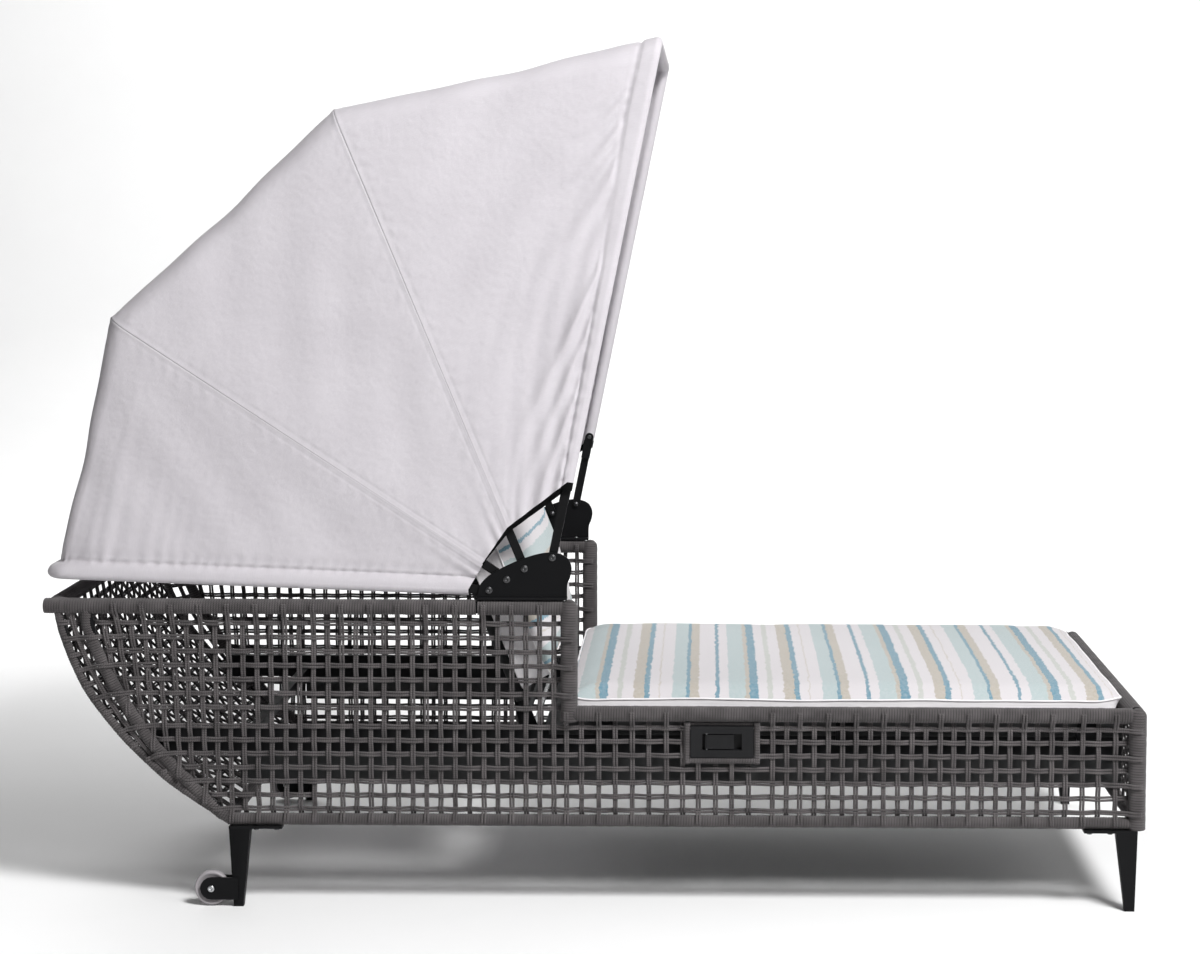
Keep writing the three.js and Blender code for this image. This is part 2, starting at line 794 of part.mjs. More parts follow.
function deckFrame() {
  const rails = [-1, 1].map((side) => block(
    at(deckHeadX, side * deckRailY - deckRailWidth / 2, deckTop - deckSideHeight),
    at(deckFootX, side * deckRailY + deckRailWidth / 2, deckTop),
  ));
  const seatRun = deckFootX - hingeCrossX;
  const crossPlaces = [
    hingeCrossX,
    ...middleCrossShares.map((share) => hingeCrossX + share * seatRun),
    deckFootX - deckRailWidth / 2,
  ];
  const crosses = crossPlaces.map((x) => block(
    at(x - deckRailWidth / 2, -deckRailY, deckBottom),
    at(x + deckRailWidth / 2, deckRailY, deckTop),
  ));
  const rearCross = block(
    at(rearCrossX - deckRailWidth / 2, -deckRailY - deckRailWidth / 2, deckBottom - deckRailWidth),
    at(rearCrossX + deckRailWidth / 2, deckRailY + deckRailWidth / 2, deckBottom),
  );
  const straps = [];
  const strapFace = sideY - railRound - clearance;
  const strapPlaces = [armPostX + strapInset, (armPostX + deckFootX) / 2, deckFootX - strapInset];
  for (const x of strapPlaces) {
    for (const side of [-1, 1]) {
      const inner = side * (deckRailY + deckRailWidth / 2 - overrun);
      const outer = side * strapFace;
      const plateInner = side * (strapFace - strapThickness);
      straps.push(block(
        at(x - strapWidth / 2, Math.min(inner, outer), deckBottom),
        at(x + strapWidth / 2, Math.max(inner, outer), deckTop),
      ));
      straps.push(block(
        at(x - strapWidth / 2, Math.min(plateInner, outer), deckBottom),
        at(x + strapWidth / 2, Math.max(plateInner, outer), deckTop + strapRise),
      ));
    }
  }
  const tabs = [-1, 1].map((side) => {
    const inner = side * (deckRailY + deckRailWidth / 2 - overrun);
    const outer = side * (sideY - lowRound - clearance);
    return block(
      at(deckHeadX, Math.min(inner, outer), deckBottom),
      at(deckHeadX + strapWidth, Math.max(inner, outer), deckTop),
    );
  });
  const hinge = at(hingeX, 0, hingeZ);
  const cross = at(hingeCrossX, 0, deckTop - deckRailHeight / 2);
  const ears = [-1, 1].map((side) => (
    ear(hinge, cross, side * deckEarY, earThickness, deckRailHeight / 2 - overrun / 2, holeFor(hingeRodRadius))
  ));
  return union([...rails, ...crosses, rearCross, ...straps, ...tabs, ...ears, ...cheeks(springFoot, cross)]);
}

function backrestTubes(grow = 0) {
  const corner = at(-backrestLength, 0, 0);
  const side = backrestHalfWidth;
  const foot = -backrestFootGap;
  const farSide = (sign) => roundedCorner(
    at(foot, sign * side, 0),
    at(corner.x, sign * side, 0),
    at(corner.x, 0, 0),
    rimCorner,
    arcSteps,
  );
  const loop = [at(foot, -side, 0), ...farSide(-1), ...farSide(1).reverse(), at(foot, side, 0)];
  return union([
    tube(loop, backrestTube + grow),
    bar(at(foot, -side, 0), at(foot, side, 0), backrestTube + grow),
    bar(at(springHead.x, -side, 0), at(springHead.x, side, 0), backrestTube + grow),
  ]);
}

function backrestFrame() {
  const hinge = at(0, 0, 0);
  const target = at(-backrestFootGap - backrestTube, 0, 0);
  const ears = [-1, 1].map((sign) => (
    ear(hinge, target, sign * backrestHalfWidth, earThickness, backrestTube, holeFor(hingeRodRadius))
  ));
  return union([backrestTubes(), ...ears, ...cheeks(springHead, at(springHead.x, 0, 0))]);
}

function backrestSling() {
  const hem = backrestTube + backrestHem;
  const side = backrestHalfWidth;
  const start = -backrestFootGap - backrestTube - earRound;
  const top = backrestTube + backrestHem;
  const sleeve = (sign) => bar(at(start, sign * side, 0), at(-backrestLength + rimCorner, sign * side, 0), hem);
  const sheet = block(
    at(-backrestLength + rimCorner / 2, -side, top - backrestHem + clearance),
    at(start, side, top),
  );
  const topSleeve = bar(
    at(-backrestLength, -side + rimCorner, 0),
    at(-backrestLength, side - rimCorner, 0),
    hem,
  );
  const corners = block(
    at(-backrestLength, -side + rimCorner, top - backrestHem + clearance),
    at(-backrestLength + rimCorner, side - rimCorner, top),
  );
  return union([sleeve(-1), sleeve(1), sheet, topSleeve, corners]).subtract(backrestTubes(clearance));
}

// A boxed cushion with a crown: rings of a rounded rectangle from its underside to its top
function cushionGeometry(length, width, crown) {
  const outline = [];
  const half = [length / 2 - cushionCorner, width / 2 - cushionCorner];
  const quarters = [[1, 1, 0], [-1, 1, 90], [-1, -1, 180], [1, -1, 270]];
  quarters.forEach(([signX, signY, turn], quarter) => {
    for (let step = 0; step <= cushionCornerSteps; step += 1) {
      const angle = turn * radians + Math.PI / 2 * step / cushionCornerSteps;
      outline.push({ x: signX * half[0], y: signY * half[1], out: [Math.cos(angle), Math.sin(angle)], draw: 0 });
    }
    const next = quarters[(quarter + 1) % quarters.length];
    const out = [-Math.sin(turn * radians), Math.cos(turn * radians)];
    for (let step = 1; step < cushionSideSteps; step += 1) {
      const share = step / cushionSideSteps;
      outline.push({
        x: half[0] * (signX + (next[0] - signX) * share),
        y: half[1] * (signY + (next[1] - signY) * share),
        out,
        draw: Math.sin(Math.PI * share),
      });
    }
  });
  const rings = [
    { inset: cushionEdge, height: 0, scale: 1 },
    { inset: 0, height: cushionEdge, scale: 1 },
    { inset: cushionDrawIn / 2, height: cushionThickness / 2, scale: 1 },
    { inset: 0, height: cushionThickness - cushionEdge, scale: 1 },
    { inset: cushionEdge, height: cushionThickness, scale: 1 },
    ...crownRingShares.map((scale) => ({ inset: cushionEdge, height: cushionThickness, scale })),
  ];
  const positions = [];
  const count = outline.length;
  for (const ring of rings) {
    for (const place of outline) {
      const reach = cushionCorner - ring.inset - place.draw * cushionDrawIn;
      const rise = ring.scale < 1 ? crown * (1 - ring.scale ** 2) ** 2 : 0;
      positions.push(
        ring.scale * (place.x + place.out[0] * reach),
        ring.scale * (place.y + place.out[1] * reach),
        ring.height + rise,
      );
    }
  }
  const bottom = positions.length / 3;
  positions.push(0, 0, 0);
  positions.push(0, 0, cushionThickness + crown);
  const faces = [];
  for (let ring = 0; ring < rings.length - 1; ring += 1) {
    for (let index = 0; index < count; index += 1) {
      const next = (index + 1) % count;
      const low = ring * count;
      const high = low + count;
      faces.push(low + index, low + next, high + next, low + index, high + next, high + index);
    }
  }
  for (let index = 0; index < count; index += 1) {
    const next = (index + 1) % count;
    const last = (rings.length - 1) * count;
    faces.push(bottom, next, index);
    faces.push(bottom + 1, last + index, last + next);
  }
  const geometry = new THREE.BufferGeometry();
  geometry.setAttribute('position', new THREE.Float32BufferAttribute(positions, 3));
  geometry.setIndex(faces);
  geometry.computeVertexNormals();
  return geometry;
}

// Gas spring pieces, along a line from one eye towards the other
function springCylinderShape(from, towards) {
  const along = towards.clone().sub(from).normalize();
  const place = (distance) => from.clone().addScaledVector(along, distance);
  const half = springEyeWidth / 2;
  const eye = bar(at(from.x, -half, from.z), at(from.x, half, from.z), springEye, wrapSides);
  const body = bar(place(springEye / 2), place(springCylinderEnd), springCylinder, wrapSides);
  const bore = bar(place(springBoreStart), place(springCylinderEnd + overrun), springBore, wrapSides);
  const pin = bar(
    at(from.x, -half - overrun, from.z),
    at(from.x, half + overrun, from.z),
    holeFor(springPin),
    wrapSides,
  );
  return union([eye, body]).subtract(bore).subtract(pin);
}

function springRodShape(from, towards) {
  const along = towards.clone().sub(from).normalize();
  const place = (distance) => from.clone().addScaledVector(along, distance);
  const half = springEyeWidth / 2;
  const eye = bar(at(from.x, -half, from.z), at(from.x, half, from.z), springEye, wrapSides);
  const rod = bar(place(springEye / 2), place(springRodLength), springRod, wrapSides);
  const pin = bar(
    at(from.x, -half - overrun, from.z),
    at(from.x, half + overrun, from.z),
    holeFor(springPin),
    wrapSides,
  );
  return union([eye, rod]).subtract(pin);
}

// Release handle: a housing with a recess, and a sprung paddle on an upright pin
const handleFace = -(overallWidth / 2 - handleInset);
const recessLeft = handleX - recessLength / 2;
const pinX = recessLeft + paddleEndGap + paddleKnuckle;
const pinY = handleFace + paddleInset + paddleKnuckle;

function paddlePin(grow = 0) {
  const reach = recessHeight / 2 + paddlePinReach + grow;
  return bar(at(pinX, pinY, handleZ - reach), at(pinX, pinY, handleZ + reach), paddlePinRadius + grow);
}

function handleHousing() {
  const box = block(
    at(handleX - handleLength / 2, handleFace, handleZ - handleHeight / 2),
    at(handleX + handleLength / 2, handleFace + handleDepth, handleZ + handleHeight / 2),
  );
  const recess = block(
    at(recessLeft, handleFace - overrun, handleZ - recessHeight / 2),
    at(recessLeft + recessLength, handleFace + recessDepth, handleZ + recessHeight / 2),
  );
  return box.subtract(recess).subtract(paddlePin(clearance));
}

function releasePaddle() {
  const low = handleZ - paddleHeight / 2;
  const high = handleZ + paddleHeight / 2;
  const blade = block(
    at(pinX, handleFace + paddleInset, low),
    at(pinX - paddleKnuckle + paddleLength, handleFace + paddleInset + paddleThickness, high),
  );
  const knuckle = bar(at(pinX, pinY, low), at(pinX, pinY, high), paddleKnuckle, wrapSides);
  const bore = bar(at(pinX, pinY, low - overrun), at(pinX, pinY, high + overrun), holeFor(paddlePinRadius));
  return knuckle.add(blade).subtract(bore);
}

// Canopy hinge plates and the bows' arms and pivot screws
const plateBottom = armTop + clearance;
const onPlate = ([along, up]) => [plateX + along * plateLength, plateBottom + up * plateHeight];
const pivotOf = (bow) => {
  const [x, z] = onPlate(bow.pivotShares);
  return at(x, 0, z);
};
const directionOf = (bow) => at(Math.cos(bow.angle * radians), 0, Math.sin(bow.angle * radians));
const plateInner = bowY + armThickness / 2 + clearance;

function hingePlate(side) {
  const near = side * plateInner;
  const far = side * (plateInner + plateThickness);
  const outline = plateOutlineShares.map(onPlate).reverse();
  const upright = plate(outline, Math.min(near, far), Math.max(near, far));
  const flange = block(
    at(plateX, side * sideY - plateFlangeWidth / 2, plateBottom),
    at(plateX + plateLength * plateOutlineShares.at(-1)[0], side * sideY + plateFlangeWidth / 2,
      plateBottom + plateFlangeThickness),
  );
  const holes = bows.map((bow) => screwShaft(bow, side, holeFor(screwRadius)));
  return upright.add(flange).subtract(union(holes));
}

function screwShaft(bow, side, radius) {
  const pivot = pivotOf(bow);
  const inner = side * (bowY - armThickness / 2 - clearance - screwHeadHeight / 2);
  const outer = side * (plateInner + plateThickness + clearance + screwHeadHeight / 2);
  return bar(at(pivot.x, inner, pivot.z), at(pivot.x, outer, pivot.z), radius);
}

function pivotScrew(bow, side) {
  const pivot = pivotOf(bow);
  const nutFace = bowY - armThickness / 2 - clearance;
  const headFace = plateInner + plateThickness + clearance;
  const head = (face, reach, sides) => bar(
    at(pivot.x, side * face, pivot.z),
    at(pivot.x, side * (face + reach), pivot.z),
    screwHeadRadius,
    sides,
  );
  return union([
    screwShaft(bow, side, screwRadius),
    head(headFace, screwHeadHeight, wrapSides),
    head(nutFace, -screwHeadHeight, hexSides),
  ]);
}

// An arm in its bow's plane: a round end on the pivot, a flat bar, and a tongue inside the tube
function bowArm(bow, side, grow = 0) {
  const pivot = pivotOf(bow);
  const along = directionOf(bow);
  const y = side * bowY;
  const thick = armThickness / 2 + grow;
  const strip = (start, end, width) => {
    const geometry = new THREE.BoxGeometry(end - start, 2 * thick, width);
    geometry.translate((start + end) / 2, 0, 0);
    geometry.rotateY(-bow.angle * radians);
    geometry.translate(pivot.x, y, pivot.z);
    return solid(geometry);
  };
  const end = bow.arm + tongueLength + grow;
  const tongue = strip(0, end, tongueWidth + 2 * grow);
  if (grow) return tongue;
  const disc = bar(at(pivot.x, y - thick, pivot.z), at(pivot.x, y + thick, pivot.z), armWidth / 2, wrapSides);
  return union([tongue, strip(0, bow.arm, armWidth), disc])
    .subtract(screwShaft(bow, side, holeFor(screwRadius)));
}

// The bow's tube from arm to arm, round two corners
function bowPoint(bow, reach, y) {
  return pivotOf(bow).addScaledVector(directionOf(bow), reach).add(at(0, y, 0));
}

function bowShape(bow) {
  const start = bow.arm + clearance;
  const corner = (side) => roundedCorner(
    bowPoint(bow, start, side * bowY),
    bowPoint(bow, bow.reach, side * bowY),
    bowPoint(bow, bow.reach, 0),
    bowCorner,
    cornerStations,
  );
  const line = [
    bowPoint(bow, start, -bowY),
    ...corner(-1),
    ...corner(1).reverse(),
    bowPoint(bow, start, bowY),
  ];
  const shaft = tube(line, bowTube);
  return shaft.subtract(bowArm(bow, -1, clearance)).subtract(bowArm(bow, 1, clearance));
}

// Stations round a bow, from the near arm to the far arm: a place on the tube's axis and the way out
function bowStations(bow) {
  const along = directionOf(bow);
  const stations = [];
  const straight = bow.reach - bowCorner;
  const first = bow.arm + clothStart;
  for (let step = 0; step < legStations; step += 1) {
    const reach = first + (straight - first) * step / legStations;
    stations.push({ centre: bowPoint(bow, reach, -bowY), out: at(0, -1, 0) });
  }
  for (let step = 0; step < cornerStations; step += 1) {
    const turn = Math.PI / 2 * step / cornerStations;
    const out = along.clone().multiplyScalar(Math.sin(turn)).add(at(0, -Math.cos(turn), 0));
    const centre = bowPoint(bow, straight, bowCorner - bowY).addScaledVector(out, bowCorner);
    stations.push({ centre, out });
  }
  for (let step = 0; step < crossStations; step += 1) {
    const y = (bowCorner - bowY) * (1 - step / crossStations);
    stations.push({ centre: bowPoint(bow, bow.reach, y), out: along.clone() });
  }
  const middle = { centre: bowPoint(bow, bow.reach, 0), out: along.clone() };
  const mirrored = stations.map(({ centre, out }) => ({
    centre: at(centre.x, -centre.y, centre.z),
    out: at(out.x, -out.y, out.z),
  })).reverse();
  return [...stations, middle, ...mirrored];
}

// The row of cloth points that lies round one side of a bow
function clothRow(bow, wrap) {
  const turn = wrap * radians;
  const forward = at(Math.sin(bow.angle * radians), 0, -Math.cos(bow.angle * radians));
  return bowStations(bow).map(({ centre, out }) => (
    centre.clone()
      .addScaledVector(out, clothStandoff * Math.cos(turn))
      .addScaledVector(forward, clothStandoff * Math.sin(turn))
  ));
}

function goreRows(index) {
  const gore = gores[index];
  const ahead = bows[index];
  const behind = bows[index + 1];
  const first = clothRow(ahead, index === 0 ? 0 : -seamWrap);
  const last = clothRow(behind, index === gores.length - 1 ? 0 : seamWrap);
  const outs = bowStations(ahead).map((station, place) => (
    station.out.clone().add(bowStations(behind)[place].out).normalize()
  ));
  const rows = [];
  if (index === 0) hemWraps.forEach((wrap) => rows.push(clothRow(ahead, wrap)));
  for (let step = 0; step <= gore.rows; step += 1) {
    const share = step / gore.rows;
    const pull = Math.sin(Math.PI * share) ** 2;
    rows.push(first.map((point, place) => {
      const around = Math.abs(2 * place / (first.length - 1) - 1);
      const fold = foldDepth * Math.sin(2 * Math.PI * gore.folds * share) * around ** 2;
      const slack = pull * Math.min(1, point.distanceTo(last[place]) / ahead.reach);
      return point.clone().lerp(last[place], share)
        .addScaledVector(outs[place], -slack * (clothSag + fold));
    }));
  }
  if (index === gores.length - 1) {
    [...hemWraps].reverse().forEach((wrap) => rows.push(clothRow(behind, -wrap)));
  }
  return rows;
}

// A grid of points as a thin closed shell
function shellGeometry(rows, thickness) {
  const across = rows[0].length;
  const pointAt = (row, place) => rows[Math.min(Math.max(row, 0), rows.length - 1)][
    Math.min(Math.max(place, 0), across - 1)];
  const positions = [];
  for (const side of [1, -1]) {
    rows.forEach((row, rowIndex) => row.forEach((point, place) => {
      const down = pointAt(rowIndex + 1, place).clone().sub(pointAt(rowIndex - 1, place));
      const over = pointAt(rowIndex, place + 1).clone().sub(pointAt(rowIndex, place - 1));
      const normal = over.cross(down).normalize().multiplyScalar(side * thickness / 2);
      positions.push(point.x + normal.x, point.y + normal.y, point.z + normal.z);
    }));
  }
  const sheet = rows.length * across;
  const faces = [];
  const quad = (a, b, c, d) => faces.push(a, b, c, a, c, d);
  for (let row = 0; row < rows.length - 1; row += 1) {
    for (let place = 0; place < across - 1; place += 1) {
      const a = row * across + place;
      quad(a, a + 1, a + across + 1, a + across);
      quad(sheet + a, sheet + a + across, sheet + a + across + 1, sheet + a + 1);
    }
  }
  for (let place = 0; place < across - 1; place += 1) {
    const last = (rows.length - 1) * across + place;
    quad(place + 1, place, sheet + place, sheet + place + 1);
    quad(last, last + 1, sheet + last + 1, sheet + last);
  }
  for (let row = 0; row < rows.length - 1; row += 1) {
    const left = row * across;
    const right = left + across - 1;
    quad(left, left + across, sheet + left + across, sheet + left);
    quad(right + across, right, sheet + right, sheet + right + across);
  }
  const geometry = new THREE.BufferGeometry();
  geometry.setAttribute('position', new THREE.Float32BufferAttribute(positions, 3));
  geometry.setIndex(faces);
  geometry.computeVertexNormals();
  return geometry;
}

// Assembly
const sides = [{ name: 'near', sign: -1 }, { name: 'far', sign: 1 }];
const wheelShape = wheelGeometry();

for (const side of sides) {
  const frame = sideTubes(side.sign).subtract(sideBolts(side.sign, clearance));
  addPiece(`side_frame_${side.name}`, frame, 'steel');
  addPiece(`arm_weave_${side.name}`, armWeave(side.sign), 'cord');
  addPiece(`seat_weave_${side.name}`, seatWeave(side.sign), 'cord');
  for (const leg of legs) {
    const shape = leg === legs[0] ? headLegShape(leg, side.sign) : legShape(leg, side.sign);
    addPiece(`${leg.name}_${side.name}`, shape, 'steel');
    const bolts = boltPair(leg.x, leg.reachSign, side.sign);
    addPiece(`${leg.name}_bolts_${side.name}`, bolts, 'bright');
  }
  const wheel = addPiece(`wheel_${side.name}`, wheelShape, 'tyre');
  wheel.position.set(wheelX, side.sign * sideY, wheelRise);
  addPiece(`wheel_axle_${side.name}`, axleShape(side.sign), 'bright');
  addPiece(`hinge_plate_${side.name}`, hingePlate(side.sign), 'steel');
  for (const bow of bows) {
    addPiece(`${bow.name}_bow_arm_${side.name}`, bowArm(bow, side.sign), 'steel');
    addPiece(`${bow.name}_bow_pivot_${side.name}`, pivotScrew(bow, side.sign), 'bright');
  }
}

addPiece('head_rim', headRim(railTube), 'steel');
addPiece('head_lower_rail', headLowRail(lowTube), 'steel');
addPiece('head_weave', headWeave(), 'cord');
addPiece('foot_frame', footTubes(), 'steel');
addPiece('foot_weave', footWeave(), 'cord');
addPiece('deck_frame', deckFrame(), 'steel');

const hingeRodEnd = deckEarY + earThickness;
const hingeRod = bar(at(hingeX, -hingeRodEnd, hingeZ), at(hingeX, hingeRodEnd, hingeZ), hingeRodRadius);
addPiece('backrest_hinge_rod', hingeRod, 'bright');

const slingLow = deckTop + clearance;
const seatSling = block(
  at(hingeCrossX, -deckRailY - deckRailWidth / 2 + seatSlingInset, slingLow),
  at(deckFootX, deckRailY + deckRailWidth / 2 - seatSlingInset, slingLow + seatSlingThickness),
);
addPiece('seat_sling', seatSling, 'sling');

const seatCushion = addPiece(
  'seat_cushion',
  cushionGeometry(seatCushionFootX - seatCushionHeadX, 2 * seatCushionHalfWidth, seatCrown),
  'stripe',
);
seatCushion.position.set(
  (seatCushionHeadX + seatCushionFootX) / 2,
  0,
  slingLow + seatSlingThickness + clearance,
);

const backrest = new THREE.Group();
backrest.position.set(hingeX, 0, hingeZ);
backrest.rotation.y = tilt;
daybed.add(backrest);
addPiece('backrest_frame', backrestFrame(), 'steel', backrest);
addPiece('backrest_sling', backrestSling(), 'sling', backrest);
const backCushion = addPiece(
  'back_cushion',
  cushionGeometry(backCushionLength, 2 * backCushionHalfWidth, backCrown),
  'stripe',
  backrest,
);
backCushion.position.set(
  -backCushionStart - backCushionLength / 2,
  0,
  backrestTube + backrestHem + clearance,
);

addPiece('gas_spring_cylinder', springCylinderShape(springFoot, springHeadAtRest), 'steel');
addPiece('gas_spring_rod', springRodShape(springHeadAtRest, springFoot), 'bright');

addPiece('handle_housing', handleHousing(), 'plastic');
addPiece('release_paddle', releasePaddle(), 'plastic');
addPiece('paddle_pin', paddlePin(), 'bright');

for (const bow of bows) addPiece(`${bow.name}_bow`, bowShape(bow), 'steel');
gores.forEach((gore, index) => {
  addPiece(`canopy_${gore.name}_gore`, shellGeometry(goreRows(index), clothThickness), 'cloth');
});

export default daybed;
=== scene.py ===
"""Looks of an outdoor daybed with a folding canopy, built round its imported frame. Metres, +Z up."""
import json
import math

import bmesh
import bpy
import numpy as np
from mathutils import Matrix, Vector

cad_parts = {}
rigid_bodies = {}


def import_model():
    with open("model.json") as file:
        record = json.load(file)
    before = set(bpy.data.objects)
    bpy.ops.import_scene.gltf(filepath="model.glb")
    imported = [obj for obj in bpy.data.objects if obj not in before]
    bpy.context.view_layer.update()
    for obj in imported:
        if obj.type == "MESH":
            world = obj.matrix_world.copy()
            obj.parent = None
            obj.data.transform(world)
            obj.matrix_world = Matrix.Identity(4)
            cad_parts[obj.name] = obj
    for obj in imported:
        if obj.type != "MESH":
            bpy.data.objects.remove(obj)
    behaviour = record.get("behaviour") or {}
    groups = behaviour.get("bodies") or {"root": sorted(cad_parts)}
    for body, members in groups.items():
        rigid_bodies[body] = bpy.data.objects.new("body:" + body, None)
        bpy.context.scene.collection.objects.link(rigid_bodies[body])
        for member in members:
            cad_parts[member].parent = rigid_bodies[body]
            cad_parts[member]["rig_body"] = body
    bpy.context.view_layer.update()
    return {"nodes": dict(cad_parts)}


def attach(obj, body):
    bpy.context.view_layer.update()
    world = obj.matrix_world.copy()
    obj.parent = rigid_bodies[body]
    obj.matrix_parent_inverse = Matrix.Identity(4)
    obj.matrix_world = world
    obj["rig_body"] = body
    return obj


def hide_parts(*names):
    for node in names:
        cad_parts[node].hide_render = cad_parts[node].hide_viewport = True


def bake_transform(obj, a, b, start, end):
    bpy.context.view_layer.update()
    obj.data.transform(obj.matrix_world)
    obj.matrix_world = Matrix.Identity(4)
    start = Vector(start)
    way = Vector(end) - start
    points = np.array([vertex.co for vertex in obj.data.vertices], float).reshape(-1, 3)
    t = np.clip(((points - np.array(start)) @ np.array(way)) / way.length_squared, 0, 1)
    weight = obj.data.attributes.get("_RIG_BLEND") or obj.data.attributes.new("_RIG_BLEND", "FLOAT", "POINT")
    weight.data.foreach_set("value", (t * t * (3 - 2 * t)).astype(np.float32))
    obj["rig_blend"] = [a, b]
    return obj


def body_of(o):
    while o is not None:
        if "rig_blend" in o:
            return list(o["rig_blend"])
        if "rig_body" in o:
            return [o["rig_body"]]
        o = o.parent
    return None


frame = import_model()
nodes = frame["nodes"]
chance = np.random.default_rng(7)
sides = {"near": -1, "far": 1}
x_axis, y_axis, z_axis = np.eye(3)
mirror = np.array([1, -1, 1])

# Frame sizes; the head end's two curves are shares of its run and of its height
side_y = 0.4825
arm_z, seat_z, foot_rail_z, low_z = 0.5925, 0.3845, 0.3825, 0.173
head_x, foot_x, post_x, low_head_x = -1.0595, 1.0575, -0.05, -0.7195
rail_r, post_r, low_r, edge_r = 0.0155, 0.0175, 0.012, 0.0085
rim_corner, rim_stub = 0.045, 0.006
rim_half = side_y - rim_corner - rim_stub
head_run, curve_step = 0.34, 0.008
outer_shares = [(0.028, 1), (0.043, 0.93), (0.066, 0.858), (0.134, 0.713), (0.228, 0.57),
                (0.399, 0.393), (0.555, 0.265), (0.705, 0.16), (1, 0)]
inner_shares = [(0.193, 1), (0.208, 0.882), (0.317, 0.677), (0.437, 0.508),
                (0.582, 0.338), (0.756, 0.188), (0.932, 0.045), (1.015, 0)]

# The net: double twisted cords, over and under
cord_r, cord_gap, cord_step = 0.0025, 0.00255, 0.0055
weave_rise, cord_wander, net_jitter = 0.0027, 0.0006, 0.0009
arm_pitch, panel_pitch = 0.0277, 0.0285
seat_levels = 0.1935 + 0.0272 * np.arange(7)
arm_levels = np.concatenate([seat_levels, 0.3935 + arm_pitch * np.arange(7)])
seat_runs = [(-0.0254, 0.033, 7), (0.203, 0.0323, 4), (0.3469, 0.0272, 22), (0.951, 0.0315, 3)]
post_upright, post_clear, head_clear = -0.0552, 0.029, 0.075
band_drop, band_step, band_count, band_out = 0.012, 0.03, 17, 0.003
drop_share, over_run, over_flat = 0.4, 0.02, 0.004
head_lean, lean_fade = 0.17, 3.5

# Cord wound round the tubes: one ridge for each turn
wrap_pitch, wrap_depth, wrap_loose, wrap_sides, wrap_steps = 0.0052, 0.0011, 0.00018, 12, 4
rail_gap_x, rail_gap = -0.2295, 0.003
border_r, border_drop = 0.0045, 0.0035
joint_share = 0.6

# Release handle
handle_x, handle_z, handle_length, handle_height = 0.2485, 0.3315, 0.123, 0.061
handle_border = 0.013
handle_left = handle_x - handle_length / 2 - handle_border
handle_right = handle_x + handle_length / 2 + handle_border
handle_low = handle_z - handle_height / 2 - handle_border

# Legs and wheels; the hub's profile gives radius and depth below the wheel's face
wheel_x, wheel_z, wheel_r, wheel_width = -0.752, 0.036, 0.034, 0.016
axle_r, axle_head_r, axle_head, fork_face, fork_inset = 0.004, 0.0066, 0.003, 0.0133, 0.001
tyre_depth = 0.0062
hub_profile = [(0.0044, 0), (0.010, 0), (0.0112, 0.0008), (0.0125, 0.0028), (0.014, 0.0032)]
rim_profile = [(-0.002, 0.0032), (0, 0.0012)]
tyre_profile = [(-0.0022, 0), (-0.0006, 0.0018), (0, 0.0045)]
tyre_foot, tyre_foot_depth = 0.0022, 0.0008

# Hinge plates and their screws
plate_x, plate_z, plate_length, plate_height = -0.2287, 0.6083, 0.184, 0.093
plate_y, plate_thickness, plate_step = 0.484, 0.006, 0.003
flange_width, flange_thickness, flange_inset, flange_screw_shares = 0.024, 0.005, 0.006, (0.16, 0.8)
plate_shares = [(0, 0), (0.012, 0.18), (0.034, 0.32), (0.12, 0.5), (0.25, 0.655), (0.38, 0.78),
                (0.508, 0.88), (0.63, 0.955), (0.75, 0.995), (0.858, 0.977), (0.93, 0.92), (0.975, 0.83),
                (1, 0.668), (0.985, 0.48), (0.955, 0.32), (0.952, 0)]
screw_r, screw_head_r, screw_head, screw_play = 0.0035, 0.0056, 0.003, 0.0003
washer_rise, least_r = 0.0008, 0.00002
washer_profile = [(0, 0), (0.0068, 0), (0.0068, 0.0006), (0.0064, 0.0009), (0, 0.0009)]
rivet_profile = [(0, 0), (0.0045, 0), (0.0045, 0.0008), (0.003, 0.0018), (0, 0.002)]
small_screw_r, lug_screw_r, small_screw_head = 0.004, 0.0045, 0.0016

# The four bows: pivot as shares of the plate, angle, reach and arm as shares of the front bow's,
# how far from the pivot the cloth starts, and how long its dark edge webbing is there
bow_y, bow_tube, bow_corner, arm_thickness = 0.4812, 0.0095, 0.032, 0.005
front_reach, front_arm, rivet_inset = 1.016, 0.158, 0.008
bow_rows = {
    "front": ((0.796, 0.889), 78.6, 1, 1, 0.134, 0.017),
    "second": ((0.501, 0.653), 112.6, 0.936, 0.633, 0.078, 0.009),
    "third": ((0.314, 0.427), 146.8, 0.898, 0.506, 0.055, 0.0015),
    "rear": ((0.126, 0.201), 178.0, 0.8448, 0.348, 0.04, 0.0015),
}
bow_fields = ("pivot", "angle", "reach", "arm", "hem", "web")
bows = {name: dict(zip(bow_fields, row)) for name, row in bow_rows.items()}
bow_names = list(bows)
bow_bodies = dict(zip(bow_names, ["front_bow_body", "second_bow_body", "third_bow_body", "frame"]))
lug_half, lug_length, lug_proud = 0.0095, 0.05, 0.0015

# Deck, backrest and slings; the backrest is laid out flat behind its hinge, then tilted
hinge = np.array([-0.125, 0, 0.336])
back_tilt = math.radians(68)
deck_head_x, deck_foot_x, deck_rail_y = -0.092, 1.032, 0.444
back_half, back_length, back_start, back_tube, back_hem = 0.39, 0.64, 0.063, 0.010, 0.0026
sling_thickness, sling_top, sling_half, back_sling_half = 0.0016, 0.3478, 0.42, 0.36
sling_edge = [(-0.450, 0.336), (-0.4505, 0.342), (-0.4485, 0.3468), (-0.440, sling_top)]
# A dark sheet inside each side net under the deck stands in for shade there: where it starts, its top and
# bottom, and its sway
shade_sheet_head_x, shade_sheet_top, shade_sheet_bottom, shade_sheet_sway = -0.70, 0.300, 0.243, 0.0015

